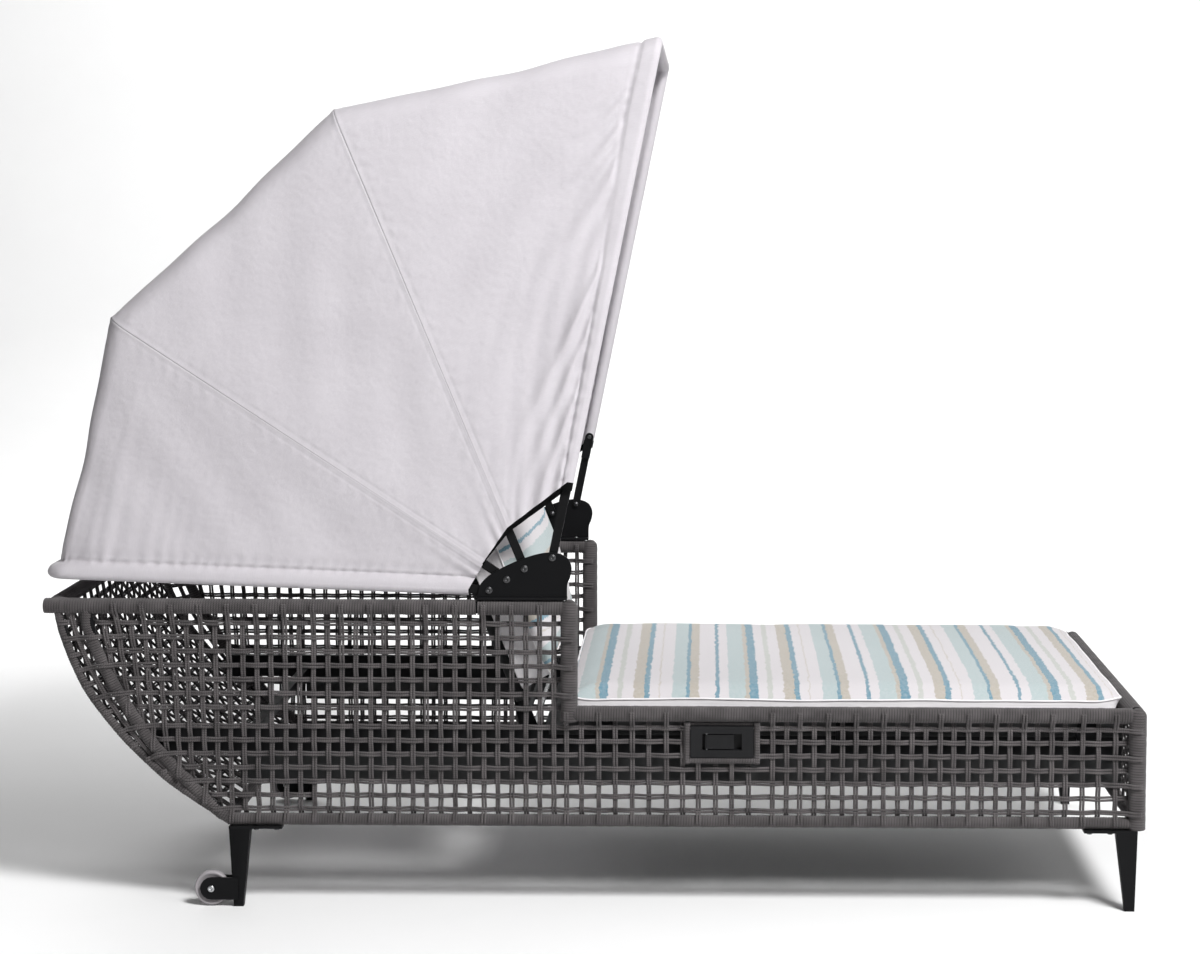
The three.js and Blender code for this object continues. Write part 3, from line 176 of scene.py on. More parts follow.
# Cushions: corners in plan, where the underside is, thickness, crown, how far the top laps out at its
# foot end, and the material slot of the lowest part of the side
seat_pad = {"low": (-0.07, -0.456), "high": (1.037, 0.456), "bottom": 0.3498, "thickness": 0.077,
            "crown": 0.006, "lap": 0.012, "base": 2, "cap": 0.008, "seed": 3}
back_pad = {"low": (-0.632, -0.428), "high": (-0.072, 0.428), "bottom": 0.0134, "thickness": 0.077,
            "crown": 0.04, "lap": 0, "base": 1, "cap": 0.012, "seed": 5}
pad_inset, pad_allowance, pad_cell, pad_corner = 0.006, 0.003, 0.021, 0.034
pad_levels, side_draw, lap_run, crown_power = 3, 0.004, 0.08, 1.2
shoulder, shoulder_run, welt_r, welt_step = 0.016, 0.028, 0.0021, 0.006
side_wave, top_wave, seam_crease = 0.0012, 0.0016, 0.55
pucker_height, pucker_reach = 0.0011, 0.02
blow_steps = 20

# Gas spring
spring_foot, spring_head = np.array([-0.1528, 0, 0.1784]), np.array([-0.2098, 0, 0.4717])
spring_eye, spring_eye_width, spring_tube_r, spring_rod_r = 0.009, 0.023, 0.011, 0.0045
spring_hole, spring_bevel, cylinder_reach, rod_reach = 0.0036, 0.0015, (0.006, 0.168), (-0.155, -0.006)

# Canopy cloth
cloth_standoff, cloth_sag, cloth_thickness, web_cells = 0.0112, 0.005, 0.0012, 3
leg_stations, corner_stations, top_stations, gore_rows = 136, 14, 36, 89
rear_hem, sleeve_stand, sleeve_side_stand, seam_inset = 0.026, 0.017, 0.006, 0.0022
band_proud, band_thickness, band_rows, band_edge, band_length = 0.0026, 0.0008, 7, 0.004, 2.6

# Heights of the canopy cloth's relief
slow_wave, ruffle_height, ridge, ridge_dip, seam_wave = 0.0022, 0.0022, 0.0017, 0.0008, 0.0007
front_groove, rear_groove, hem_hollow = 0.0042, 0.003, 0.0015
hung_fold, slow_fold, frill_height = 0.0026, 0.002, 0.0034

# The front hem's width, at places down the leg
hem_down = [0, 0.1, 0.25, 0.4, 0.6, 1]
hem_width = [0.033, 0.036, 0.027, 0.021, 0.017, 0.0145]

# Creases that run from the front hem: how far down the leg they start, length, slope, depth and width
creases = [(0.028, 0.085, 0.35, 0.0042, 0.006), (0.058, 0.12, 0.55, 0.0062, 0.008),
           (0.086, 0.08, 0.5, 0.0040, 0.006), (0.118, 0.15, 0.8, 0.0066, 0.010),
           (0.152, 0.07, 0.95, 0.0034, 0.007), (0.205, 0.24, 1.35, 0.0056, 0.016),
           (0.400, 0.34, 2.4, 0.0080, 0.013), (0.510, 0.28, 2.7, 0.0052, 0.012),
           (0.640, 0.22, 2.9, 0.0050, 0.012)]

# How strongly the front hem's seam shows, puckers and frills, at places down the leg
seam_places = [0, 0.12, 0.2, 0.36, 0.44, 0.57, 0.66, 0.9]
seam_depth = [1, 1, 0.35, 0.25, 0.8, 1, 1, 1]
seam_pucker = [0.5, 0.45, 0.1, 0, 0.15, 0.5, 1, 1]
seam_frill = [0.1, 0.1, 0, 0, 0, 0.6, 1, 1]

# Cushion stripes: where each band of one repeat ends, as shares of the repeat, and its colour
white, aqua, sage = (0.57, 0.545, 0.56), (0.365, 0.44, 0.445), (0.44, 0.455, 0.425)
teal, beige, thin_beige = (0.098, 0.228, 0.298), (0.39, 0.355, 0.30), (0.47, 0.435, 0.39)
stripe_repeat, stripe_start = 0.297, -0.035
stripe_bands = [(0.111, aqua), (0.137, beige), (0.193, teal), (0.257, white), (0.29, sage), (0.364, white),
                (0.437, beige), (0.470, teal), (0.535, white), (0.542, thin_beige), (0.625, white),
                (0.715, aqua), (0.74, teal), (0.80, beige), (0.912, white), (0.935, teal), (1.0, white)]


# Shader helpers
def new_material(name):
    material = bpy.data.materials.new(name)
    material.use_nodes = True
    return material, material.node_tree, material.node_tree.nodes["Principled BSDF"]


def put(tree, inputs, values):
    """Gives inputs, by name or number, a constant each or a link"""
    for key, value in values.items():
        if isinstance(value, bpy.types.NodeSocket):
            tree.links.new(value, inputs[key])
        else:
            inputs[key].default_value = value


def add_node(tree, kind, values, **settings):
    """A shader node, with its settings and its inputs"""
    node = tree.nodes.new(kind)
    for key, value in settings.items():
        setattr(node, key, value)
    put(tree, node.inputs, values)
    return node


def math_node(tree, operation, *values):
    return add_node(tree, "ShaderNodeMath", dict(enumerate(values)), operation=operation).outputs[0]


def ramp(tree, factor, stops, interpolation="LINEAR"):
    node = add_node(tree, "ShaderNodeValToRGB", {0: factor})
    node.color_ramp.interpolation = interpolation
    elements = node.color_ramp.elements
    while len(elements) < len(stops):
        elements.new(0.5)
    for element, (place, color) in zip(elements, stops):
        element.position = place
        element.color = (*color, 1)
    return node.outputs[0]


def coordinates(tree):
    """A piece's own lengths along and round it, as its picture coordinates"""
    return tree.nodes.new("ShaderNodeUVMap").outputs[0]


def noise(tree, scale, detail=3.0, vector=None, roughness=0.5):
    if vector is None:
        vector = tree.nodes.new("ShaderNodeTexCoord").outputs["Object"]
    values = {"Scale": scale, "Detail": detail, "Roughness": roughness, "Vector": vector}
    return add_node(tree, "ShaderNodeTexNoise", values).outputs["Fac"]


def stretched(tree, vector, scale):
    return add_node(tree, "ShaderNodeMapping", {"Vector": vector, "Scale": scale}).outputs[0]


def bump(tree, shader, height, depth):
    """Adds a relief on top of the shader's earlier ones"""
    node = add_node(tree, "ShaderNodeBump", {"Height": height, "Distance": depth})
    before = shader.inputs["Normal"].links
    if before:
        tree.links.new(before[0].from_socket, node.inputs["Normal"])
    tree.links.new(node.outputs[0], shader.inputs["Normal"])


def mixed(tree, factor, first, second, blend="MIX"):
    values = {"Factor": factor, "A": first, "B": second}
    return add_node(tree, "ShaderNodeMix", values, data_type="RGBA", blend_type=blend).outputs["Result"]


def mix_surface(tree, factor, shader, other):
    mix = add_node(tree, "ShaderNodeMixShader", {0: factor, 1: shader.outputs[0], 2: other.outputs[0]})
    tree.links.new(mix.outputs[0], tree.nodes["Material Output"].inputs["Surface"])


def grey_ramp(tree, amount, start, start_grey, end, end_grey):
    return ramp(tree, amount, [(start, (start_grey,) * 3), (end, (end_grey,) * 3)])


def painted_metal(name, color, rough=0.42, metallic=0.0, grain=900.0, wear=0.02):
    """Powder coat or bare metal: a fine grain, faint smudges and lighter rubbed edges"""
    material, tree, shader = new_material(name)
    broad = noise(tree, scale=14, detail=4)
    pointiness = tree.nodes.new("ShaderNodeNewGeometry").outputs["Pointiness"]
    rubbed = math_node(tree, "MULTIPLY", grey_ramp(tree, pointiness, 0.5, 0, 0.58, 1), 0.5)
    lighter = tuple(min(1, channel + wear * (0.3 + channel)) for channel in color)
    base = ramp(tree, broad, [(0.3, tuple(0.88 * channel for channel in color)), (0.75, color)])
    put(tree, shader.inputs, {
        "Base Color": mixed(tree, rubbed, base, (*lighter, 1)),
        "Metallic": metallic,
        "Specular IOR Level": 0.5 if metallic else 0.07,
        "Roughness": math_node(tree, "MULTIPLY_ADD", broad, 0.16, rough - 0.08)})
    bump(tree, shader, noise(tree, scale=grain, detail=2), depth=0.00008)
    return material


def cord_material():
    """Charcoal rope: plies twisted along the cord, with painted shade in the grooves between the plies and
    where cords meet, fuzz and uneven dye
    """
    material, tree, shader = new_material("charcoal_cord")
    parts = add_node(tree, "ShaderNodeSeparateXYZ", {"Vector": coordinates(tree)})
    turns = math_node(tree, "MULTIPLY_ADD", parts.outputs["X"], 230.0, parts.outputs["Y"])
    waves = [math_node(tree, "SINE", math_node(tree, "MULTIPLY", value, math.pi))
             for value in (turns, parts.outputs["Y"])]
    ply, cord_meeting_shade = [math_node(tree, "ABSOLUTE", wave) for wave in waves]
    fibres, patches = noise(tree, scale=2600), noise(tree, scale=30)
    shade = math_node(tree, "MULTIPLY_ADD", fibres, 0.5, math_node(tree, "MULTIPLY", patches, 0.5))
    dye = ramp(tree, shade, [(0.34, (0.045, 0.040, 0.041)), (0.66, (0.128, 0.116, 0.118))])
    # Painted shade: darker in the grooves between the twisted plies
    color = mixed(tree, 1.0, dye, grey_ramp(tree, ply, 0, 0.3, 0.6, 1), "MULTIPLY")
    # Painted shade: darker on each cord's flanks, where two cords meet
    color = mixed(tree, 1.0, color, grey_ramp(tree, cord_meeting_shade, 0, 0.16, 0.62, 1), "MULTIPLY")
    put(tree, shader.inputs, {"Base Color": color, "Roughness": 0.82, "Specular IOR Level": 0.3,
                              "Sheen Weight": 0.12})
    bump(tree, shader, ply, depth=0.0011)
    bump(tree, shader, fibres, depth=0.0002)
    return material


def woven_bump(tree, shader, pitch, depth, vector):
    """Threads crossing at right angles, over and under, across a sheet's own coordinates"""
    parts = add_node(tree, "ShaderNodeSeparateXYZ", {"Vector": vector})
    turns = [math_node(tree, "MULTIPLY", parts.outputs[axis], 2 * math.pi / pitch) for axis in "XY"]
    height = math_node(tree, "MULTIPLY", *[math_node(tree, "SINE", turn) for turn in turns])
    bump(tree, shader, height, depth)
    return height


def canopy_material():
    """Off-white canopy cloth: a plain weave, faint slubs, a little light through it"""
    material, tree, shader = new_material("canopy_cloth")
    along = coordinates(tree)
    cloudy, slub = noise(tree, scale=9, detail=4), noise(tree, 1, 3, stretched(tree, along, (60, 900, 1)))
    shade = math_node(tree, "MULTIPLY_ADD", slub, 0.5, math_node(tree, "MULTIPLY", cloudy, 0.5))
    tint = ramp(tree, shade, [(0.3, (0.59, 0.563, 0.595)), (0.7, (0.665, 0.638, 0.67))])
    put(tree, shader.inputs, {"Base Color": tint, "Roughness": 0.88, "Sheen Weight": 0.15})
    woven_bump(tree, shader, 0.0016, 0.00012, along)
    bump(tree, shader, noise(tree, scale=55, detail=4), depth=0.0012)
    mix_surface(tree, 0.24, shader, add_node(tree, "ShaderNodeBsdfTranslucent", {"Color": tint}))
    return material


def sling_material(name, color, pitch=0.003, shine=0.5):
    """Coarse textilene mesh: glossy round yarns in a basket weave, with painted shade where the yarns dip
    under
    """
    material, tree, shader = new_material(name)
    height = woven_bump(tree, shader, pitch, 0.0006, coordinates(tree))
    # Painted shade: the colour darkens where the weave dips
    weave_shade_color = tuple(0.35 * channel for channel in color)
    put(tree, shader.inputs, {
        "Base Color": ramp(tree, height, [(0.0, weave_shade_color), (0.4, color)]),
        "Roughness": math_node(tree, "MULTIPLY_ADD", noise(tree, scale=40), 0.2, 0.45),
        "Specular IOR Level": shine})
    return material


def cushion_cloth(name, tint_of):
    """Plain woven cushion cloth, with a colour made from its tree and its coordinates"""
    material, tree, shader = new_material(name)
    along = coordinates(tree)
    put(tree, shader.inputs, {"Base Color": tint_of(tree, along), "Roughness": 0.9, "Sheen Weight": 0.2})
    woven_bump(tree, shader, 0.0012, 0.00012, along)
    return material


def striped(tree, along):
    """Printed stripes with torn and faded edges"""
    parts = add_node(tree, "ShaderNodeSeparateXYZ", {"Vector": along})
    torn = noise(tree, 30, 5, stretched(tree, along, (1, 1.1, 1)), 0.72)
    ragged = noise(tree, 110, 3, along, 0.6)
    shift = math_node(tree, "MULTIPLY_ADD", ragged, 0.009, -0.0125)
    shift = math_node(tree, "MULTIPLY_ADD", torn, 0.016, shift)
    place = math_node(tree, "SUBTRACT", math_node(tree, "ADD", parts.outputs["X"], shift), stripe_start)
    share = math_node(tree, "FRACT", math_node(tree, "DIVIDE", place, stripe_repeat))
    starts = [0.0] + [end for end, color in stripe_bands[:-1]]
    stops = [(start, color) for start, (end, color) in zip(starts, stripe_bands)]
    worn = grey_ramp(tree, noise(tree, 160, 4, along), 0.35, 0, 0.75, 0.3)
    return mixed(tree, worn, ramp(tree, share, stops, "CONSTANT"), (*white, 1))


def streaked(tree, along):
    """Off-white with faint streaks along its length"""
    streaks = noise(tree, 1, 3, stretched(tree, along, (12, 420, 1)))
    return ramp(tree, streaks, [(0.3, (0.84, 0.813, 0.83)), (0.65, (0.93, 0.903, 0.92))])


def plastic_material(name, color, rough=0.45, shine=0.5):
    material, tree, shader = new_material(name)
    broad = noise(tree, scale=25)
    put(tree, shader.inputs, {
        "Base Color": ramp(tree, broad, [(0.3, tuple(0.8 * channel for channel in color)), (0.7, color)]),
        "Roughness": math_node(tree, "MULTIPLY_ADD", broad, 0.15, rough - 0.07),
        "Specular IOR Level": shine})
    bump(tree, shader, noise(tree, scale=1800, detail=2), depth=0.00006)
    return material


black = painted_metal("black_powder_coat", (0.0045, 0.0046, 0.0052))
deck_black = painted_metal("deck_steel", (0.010, 0.010, 0.011), 0.5)
bow_black = painted_metal("bow_tube_coat", (0.0045, 0.0045, 0.005), 0.38)
silver = painted_metal("bright_steel", (0.50, 0.51, 0.52), 0.3, 1.0, 1400, 0.3)
screw_steel = painted_metal("screw_steel", (0.075, 0.075, 0.078), 0.36, 1.0, 1400, 0.2)
cord_cloth = cord_material()
canopy_cloth = canopy_material()
web_cloth = sling_material("edge_webbing", (0.004, 0.004, 0.0045), 0.0022, 0.08)
sling_cloth = sling_material("sling_mesh", (0.03, 0.031, 0.033))
base_cloth = sling_material("cushion_base", (0.02, 0.02, 0.021), 0.0016)
stripes, boxing = cushion_cloth("cushion_stripes", striped), cushion_cloth("cushion_boxing", streaked)
grey_plastic = plastic_material("wheel_grey", (0.34, 0.32, 0.335), 0.5)
black_plastic = plastic_material("handle_black", (0.012, 0.012, 0.013), 0.4, 0.15)


# Mesh helpers
def mesh_object(name, points, faces, materials, uvs=None, slots=None):
    """A smooth mesh object from points, four-cornered faces and a picture coordinate for each corner"""
    mesh = bpy.data.meshes.new(name)
    faces = np.asarray(faces, np.int32).reshape(-1, 4)
    mesh.vertices.add(len(points))
    mesh.vertices.foreach_set("co", np.asarray(points, np.float32).ravel())
    mesh.loops.add(faces.size)
    mesh.loops.foreach_set("vertex_index", faces.ravel())
    mesh.polygons.add(len(faces))
    mesh.polygons.foreach_set("loop_start", np.arange(len(faces), dtype=np.int32) * faces.shape[1])
    if uvs is not None:
        layer = mesh.uv_layers.new(name="along")
        layer.data.foreach_set("uv", np.asarray(uvs, np.float32).ravel())
    if slots is not None:
        mesh.polygons.foreach_set("material_index", np.asarray(slots, np.int32))
    mesh.polygons.foreach_set("use_smooth", np.ones(len(faces), bool))
    for material in materials if isinstance(materials, (list, tuple)) else [materials]:
        mesh.materials.append(material)
    mesh.update(calc_edges=True)
    made = bpy.data.objects.new(name, mesh)
    bpy.context.scene.collection.objects.link(made)
    return made


def finish_piece(piece, body, slot, *replaced):
    """Puts a finished piece on its body and in the place of CAD nodes; the slot argument is not used"""
    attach(piece, body)
    if replaced:
        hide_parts(*replaced)
    return piece


def apply_modifiers(piece):
    bpy.context.view_layer.update()
    evaluated = piece.evaluated_get(bpy.context.evaluated_depsgraph_get())
    mesh = bpy.data.meshes.new_from_object(evaluated)
    piece.modifiers.clear()
    old = piece.data
    piece.data = mesh
    bpy.data.meshes.remove(old)


def unit(vectors):
    return vectors / np.linalg.norm(vectors, axis=-1, keepdims=True)


tilted_axis = unit(np.array([0.01, 0.01, 1]))


def run_length(points, axis=0):
    """How far along its line each point lies"""
    steps = np.linalg.norm(np.diff(points, axis=axis), axis=-1)
    return np.insert(np.cumsum(steps, axis=axis), 0, 0, axis=axis)


def at_length(places, length, table):
    """Rows of a table of x, y and z values, at places between its own lengths"""
    return np.column_stack([np.interp(places, length, table[:, axis]) for axis in range(3)])


def ring_cells(rings, count):
    """The four-cornered cells between rings of points, with each cell's ring and corner"""
    ring, corner = np.divmod(np.arange((rings - 1) * count), count)
    follow = (corner + 1) % count
    cells = np.column_stack([ring * count + corner, ring * count + follow,
                             (ring + 1) * count + follow, (ring + 1) * count + corner])
    return cells, ring, corner


def resample(points, step):
    """Evenly spaced places on a smooth curve through the given points"""
    points = np.asarray(points, float)
    ends = np.vstack([2 * points[0] - points[1], points, 2 * points[-1] - points[-2]])
    share = np.linspace(0, 1, 6, endpoint=False)[:, None]
    pieces = []
    for before, start, end, after in zip(ends, ends[1:], ends[2:], ends[3:]):
        bend = 2 * before - 5 * start + 4 * end - after
        twist = 3 * start - before - 3 * end + after
        pieces.append(0.5 * (2 * start + (end - before) * share + bend * share ** 2 + twist * share ** 3))
    curve = np.vstack([*pieces, points[-1:]])
    length = run_length(curve)
    return at_length(np.linspace(0, length[-1], max(3, round(length[-1] / step) + 1)), length, curve)


def rounded_corner(before, corner, after, radius, steps=8):
    """The corner at the middle point, as an arc"""
    back, ahead = unit(before - corner), unit(after - corner)
    half = math.acos(float(back @ ahead)) / 2
    centre = corner + unit(back + ahead) * radius / math.sin(half)
    start = corner + back * radius / math.tan(half) - centre
    end = corner + ahead * radius / math.tan(half) - centre
    sweep = math.pi - 2 * half
    places = np.linspace(0, 1, steps + 1)[:, None]
    return centre + (start * np.sin((1 - places) * sweep) + end * np.sin(places * sweep)) / math.sin(sweep)


class Sweep:
    """Gathers sections swept along lines, such as cords and tubes, into one mesh"""

    def __init__(self):
        self.points, self.faces, self.uvs, self.count = [], [], [], 0

    def add(self, line, side_axis, radius, count=8, wound=False):
        """A round section along a line; radius is a number, or a value for each station and corner"""
        tangent = unit(np.gradient(line, axis=0))
        across = unit(side_axis - (tangent @ side_axis)[:, None] * tangent)
        rise = np.cross(tangent, across)
        angle = (np.arange(count) + 0.5) * 2 * np.pi / count
        cos, sin = np.cos(angle)[None, :, None], np.sin(angle)[None, :, None]
        reach = np.broadcast_to(np.asarray(radius, float), (len(line), count))
        rings = line[:, None] + reach[..., None] * (cos * across[:, None] + sin * rise[:, None])
        self.points.append(rings.reshape(-1, 3))
        faces, station, corner = ring_cells(len(line), count)
        length = run_length(line)
        along = np.column_stack([length[station], length[station], length[station + 1], length[station + 1]])
        around = np.column_stack([corner, corner + 1, corner + 1, corner]) / count
        if wound:
            girth = 2 * np.pi * float(np.mean(reach))
            uvs = np.stack([around * girth, along / wrap_pitch + around], axis=-1)
        else:
            uvs = np.stack([along, 2 * around + 1 / count], axis=-1)
        first = np.arange(count // 2 - 1)
        end_cap = np.column_stack([first, first + 1, count - 2 - first, count - 1 - first])
        caps = np.vstack([end_cap[:, ::-1], end_cap + (len(line) - 1) * count])
        self.faces.append(np.vstack([faces, caps]) + self.count)
        self.uvs.append(np.vstack([uvs.reshape(-1, 2), np.zeros((caps.size, 2))]))
        self.count += len(line) * count

    def wind(self, points, side_axis, radius, domed=False):
        """A tube closely wound with cord: one ridge for each turn, leaning a little round the tube"""
        line = resample(points, wrap_pitch / wrap_steps)
        count = wrap_sides
        turns = np.arange(len(line)) / wrap_steps
        turn = turns[:, None] + np.arange(count)[None, :] / count
        uneven = chance.normal(0, wrap_loose, len(line) // wrap_steps + 2)
        loose = np.interp(turns, np.arange(len(uneven)), uneven)[:, None]
        reach = radius - wrap_depth + loose + wrap_depth * np.abs(np.sin(np.pi * turn)) ** 0.7
        if domed:
            from_end = np.linalg.norm(line - line[-1], axis=1)[:, None] / radius
            reach = reach * np.sqrt(np.clip(1.02 - np.clip(1 - from_end, 0, 1) ** 2, 0, 1))
        self.add(line, side_axis, reach, count, wound=True)

    def double_cord(self, points, side_axis):
        """Two cords side by side"""
        line = resample(points, cord_step)
        places = np.arange(len(line)) * cord_step
        for sign in (-1, 1):
            phase = chance.uniform(0, 2 * np.pi, 3)
            slow, fast = np.sin(places * 21 + phase[0]), np.sin(places * 55 + phase[1])
            shift = sign * cord_gap + cord_wander * (0.5 * slow + 0.3 * fast)
            self.add(line + shift[:, None] * side_axis, side_axis, cord_r)

    def piece(self, name, material):
        points, faces, uvs = [np.vstack(part) for part in (self.points, self.faces, self.uvs)]
        return mesh_object(name, points, faces, material, uvs)


# The woven sides, head and foot
def head_curve(shares):
    """The head end's curve as smooth x and z places, from the rim down"""
    points = [(head_x + run * head_run, 0, low_z + rise * (arm_z - low_z)) for run, rise in shares]
    return resample(points, curve_step)


outer_curve, inner_curve = head_curve(outer_shares), head_curve(inner_shares)


def curve_x(curve, z):
    return np.interp(z, curve[::-1, 2], curve[::-1, 0])


def curve_z(curve, x):
    return np.interp(x, curve[:, 0], curve[:, 2])


def in_side(side, x, out, z):
    """Places in a side's plane, and out of it"""
    x, out, z = np.broadcast_arrays(x, out, z)
    return np.column_stack([x, sides[side] * (side_y + out), z])


def woven(places, crossings, index):
    """How far a cord stands out of the net, over and under the cords that it crosses"""
    return weave_rise * np.cos(np.pi * (np.interp(places, crossings, np.arange(len(crossings))) + index))


def round_tube(centre, radius, outward, direction):
    """A net cord's end, round a tube that it meets: how far along, and how far out of the net"""
    turn = np.radians(np.linspace(-62, 22, 6))
    reach = radius + 0.8 * cord_r
    return centre + direction * reach * np.sin(turn), outward * reach * np.cos(turn)


def net_line(low, high, low_radius, high_radius, crossings, index):
    """Places along a net cord and its height out of the net, with both its ends round tubes"""
    outward = 1 if index % 2 else -1
    low_along, low_out = round_tube(low, low_radius, outward, -1)
    high_along, high_out = round_tube(high, high_radius, outward, 1)
    margin = 2.2
    inner = np.arange(low + margin * low_radius, high - margin * high_radius, cord_step)
    along = np.concatenate([low_along[::-1], inner, high_along])
    out = np.concatenate([low_out[::-1], woven(inner, crossings, index), high_out])
    return along, out


def jittered(places):
    return places + chance.uniform(-net_jitter, net_jitter, len(places))


seat_places = [start + pitch * np.arange(count) for start, pitch, count in seat_runs]
arm_uprights = jittered(np.arange(post_x - post_clear, head_x + head_clear, -arm_pitch)[::-1])
seat_uprights = jittered(np.concatenate(seat_places))
all_uprights = np.concatenate([arm_uprights, [post_upright], seat_uprights])


def head_level(net, side, index, end_x, end_radius, crossings):
    """A level cord from the curved edge, over the curved tube and through the net to a tube"""
    z = arm_levels[index]
    outward = -1 if index % 2 else 1
    drop = band_drop * min(1, drop_share * (len(arm_levels) - 1 - index))
    tube_x, band_x = curve_x(inner_curve, z), curve_x(outer_curve, z - drop)
    end_along, end_out = round_tube(end_x, end_radius, outward, 1)
    over = outward * (low_r + cord_r)
    if band_x < tube_x - over_run:
        edge_along, edge_out = round_tube(band_x, edge_r, 1, -1)
        over_tube = tube_x + np.array([-over_run, -over_flat, over_flat]), [0.3 * over, over, over]
    else:
        edge_along, edge_out = round_tube(tube_x, low_r, outward, -1)
        band_x, drop, over_tube = tube_x - low_r, 0, np.empty((2, 0))
    inner = np.arange(tube_x + 2 * low_r, end_x - 2 * end_radius, cord_step)
    along = np.concatenate([edge_along[::-1], over_tube[0], inner, end_along])
    out = np.concatenate([edge_out[::-1], over_tube[1], -woven(inner, crossings, index), end_out])
    fall = drop * np.clip((tube_x - along) / (tube_x - band_x), 0, 1)
    net.double_cord(in_side(side, along, out, z - fall), z_axis)


def arm_net(side):
    """The net under the arm rail above the seat rail's height, and all its uprights"""
    net = Sweep()
    for index, x in enumerate(arm_uprights):
        bottom, radius, lean = low_z, low_r, head_lean * math.exp(-index / lean_fade)
        if x < low_head_x:
            bottom, radius = curve_z(inner_curve, x), 1.3 * low_r
            for _ in range(4):
                bottom = curve_z(inner_curve, x + lean * (arm_z - bottom))
        along, out = net_line(bottom, arm_z, radius, rail_r, arm_levels, index)
        net.double_cord(in_side(side, x + lean * (arm_z - along), out, along), x_axis)
    for index in range(len(seat_levels), len(arm_levels)):
        head_level(net, side, index, post_x, post_r, arm_uprights)
    middle = sum(resample(curve, band_step)[:band_count] for curve in (outer_curve, inner_curve)) / 2
    net.double_cord(in_side(side, middle[:, 0], band_out, middle[:, 2]), x_axis)
    return net


def seat_net(side):
    """The uprights under the seat rail, and the level cords that run there from the head to the foot"""
    net = Sweep()
    near = side == "near"
    for index, x in enumerate(all_uprights):
        if x < post_upright:
            continue
        top, radius = seat_z, rail_r
        if near and handle_left < x < handle_right:
            top, radius = handle_low + handle_border / 2, handle_border / 2
        along, out = net_line(low_z, top, low_r, radius, seat_levels, index)
        net.double_cord(in_side(side, x, out, along), x_axis)
    left, right = handle_left + handle_border / 2, handle_right - handle_border / 2
    for index, z in enumerate(seat_levels):
        if near and z > handle_low - cord_gap:
            head_level(net, side, index, left, handle_border / 2, all_uprights)
            along, out = net_line(right, foot_x, handle_border / 2, post_r, all_uprights, index + 1)
            net.double_cord(in_side(side, along, out, z), z_axis)
        else:
            head_level(net, side, index, foot_x, post_r, all_uprights)
    return net


def side_wraps(side):
    """The cord wound round the tubes of one side"""
    wraps = Sweep()
    joint = joint_share * post_r
    rim_end = np.array([head_x, sides[side] * rim_half, arm_z])
    corner = rounded_corner(rim_end, *in_side(side, [head_x, post_x], 0, arm_z), rim_corner)
    gap_start = in_side(side, rail_gap_x - rail_gap / 2, 0, arm_z)
    wraps.wind(np.vstack([rim_end, corner, gap_start]), tilted_axis, rail_r)
    wraps.wind(in_side(side, [rail_gap_x + rail_gap / 2, post_x - joint], 0, arm_z), tilted_axis, rail_r)
    wraps.wind(in_side(side, post_x, 0, [seat_z - rail_r, arm_z + rail_r]), x_axis, post_r, domed=True)
    wraps.wind(in_side(side, [post_x + joint, foot_x - joint], 0, seat_z), tilted_axis, rail_r)
    wraps.wind(in_side(side, foot_x, 0, [low_z - low_r, foot_rail_z + post_r]), x_axis, post_r, domed=True)
    wraps.wind(in_side(side, [low_head_x, foot_x - joint], 0, low_z), tilted_axis, low_r)
    wraps.wind(in_side(side, inner_curve[:, 0], 0, inner_curve[:, 2]), y_axis, low_r)
    wraps.wind(in_side(side, outer_curve[:, 0], 0, outer_curve[:, 2]), y_axis, edge_r)
    if side == "near":
        half = handle_border / 2
        left, right, low = handle_left + half, handle_right - half, handle_low + half
        top = seat_z - rail_r
        for upright in (left, right):
            wraps.wind(in_side(side, upright, half, [low - half, top]), x_axis, half)
        wraps.wind(in_side(side, [left, right], half, low), tilted_axis, half)
        wraps.wind(in_side(side, [left, right], 0, top - border_drop), tilted_axis, border_r)
    return wraps


def panel_net(centre, normal, down, half, pitch):
    """A net on a bent panel: lines across it and lines down it, from one place to the next"""
    net = Sweep()
    length = run_length(centre)
    rows = jittered(np.arange(pitch, length[-1] - pitch / 2, pitch))
    columns = jittered(np.arange(pitch - half, half - pitch / 2, pitch))
    across = np.linspace(-half, half, round(2 * half / cord_step) + 1)
    for index, row in enumerate(rows):
        middle, out, side_axis = [at_length([row], length, table) for table in (centre, normal, down)]
        line = middle - woven(across, columns, index)[:, None] * out + across[:, None] * y_axis
        net.double_cord(line, side_axis[0])
    places = np.linspace(0, length[-1], round(length[-1] / cord_step) + 1)
    for index, column in enumerate(columns):
        out = woven(places, rows, index)[:, None] * at_length(places, length, normal)
        net.double_cord(at_length(places, length, centre) + out + column * y_axis, y_axis)
    return net


def head_panel():
    down = unit(np.gradient(outer_curve, axis=0))
    normal = np.cross(down, y_axis)
    low_half = side_y - low_r
    net = panel_net(outer_curve, normal, down, low_half, panel_pitch)
    net.wind([(head_x, -rim_half, arm_z), (head_x, rim_half, arm_z)], tilted_axis, rail_r)
    net.wind([(low_head_x, -low_half, low_z), (low_head_x, low_half, low_z)], tilted_axis, low_r)
    return net


def foot_panel():
    line = resample([(foot_x, 0, foot_rail_z), (foot_x, 0, low_z)], 0.02)
    normal = np.tile(x_axis, (len(line), 1))
    half = side_y - post_r
    net = panel_net(line, normal, np.tile(-z_axis, (len(line), 1)), half, panel_pitch)
    net.wind([(foot_x, -half, foot_rail_z), (foot_x, half, foot_rail_z)], tilted_axis, post_r)
    net.wind([(foot_x, -half, low_z), (foot_x, half, low_z)], tilted_axis, low_r)
    net.wind([(foot_x, 0, low_z), (foot_x, 0, foot_rail_z)], x_axis, edge_r)
    return net


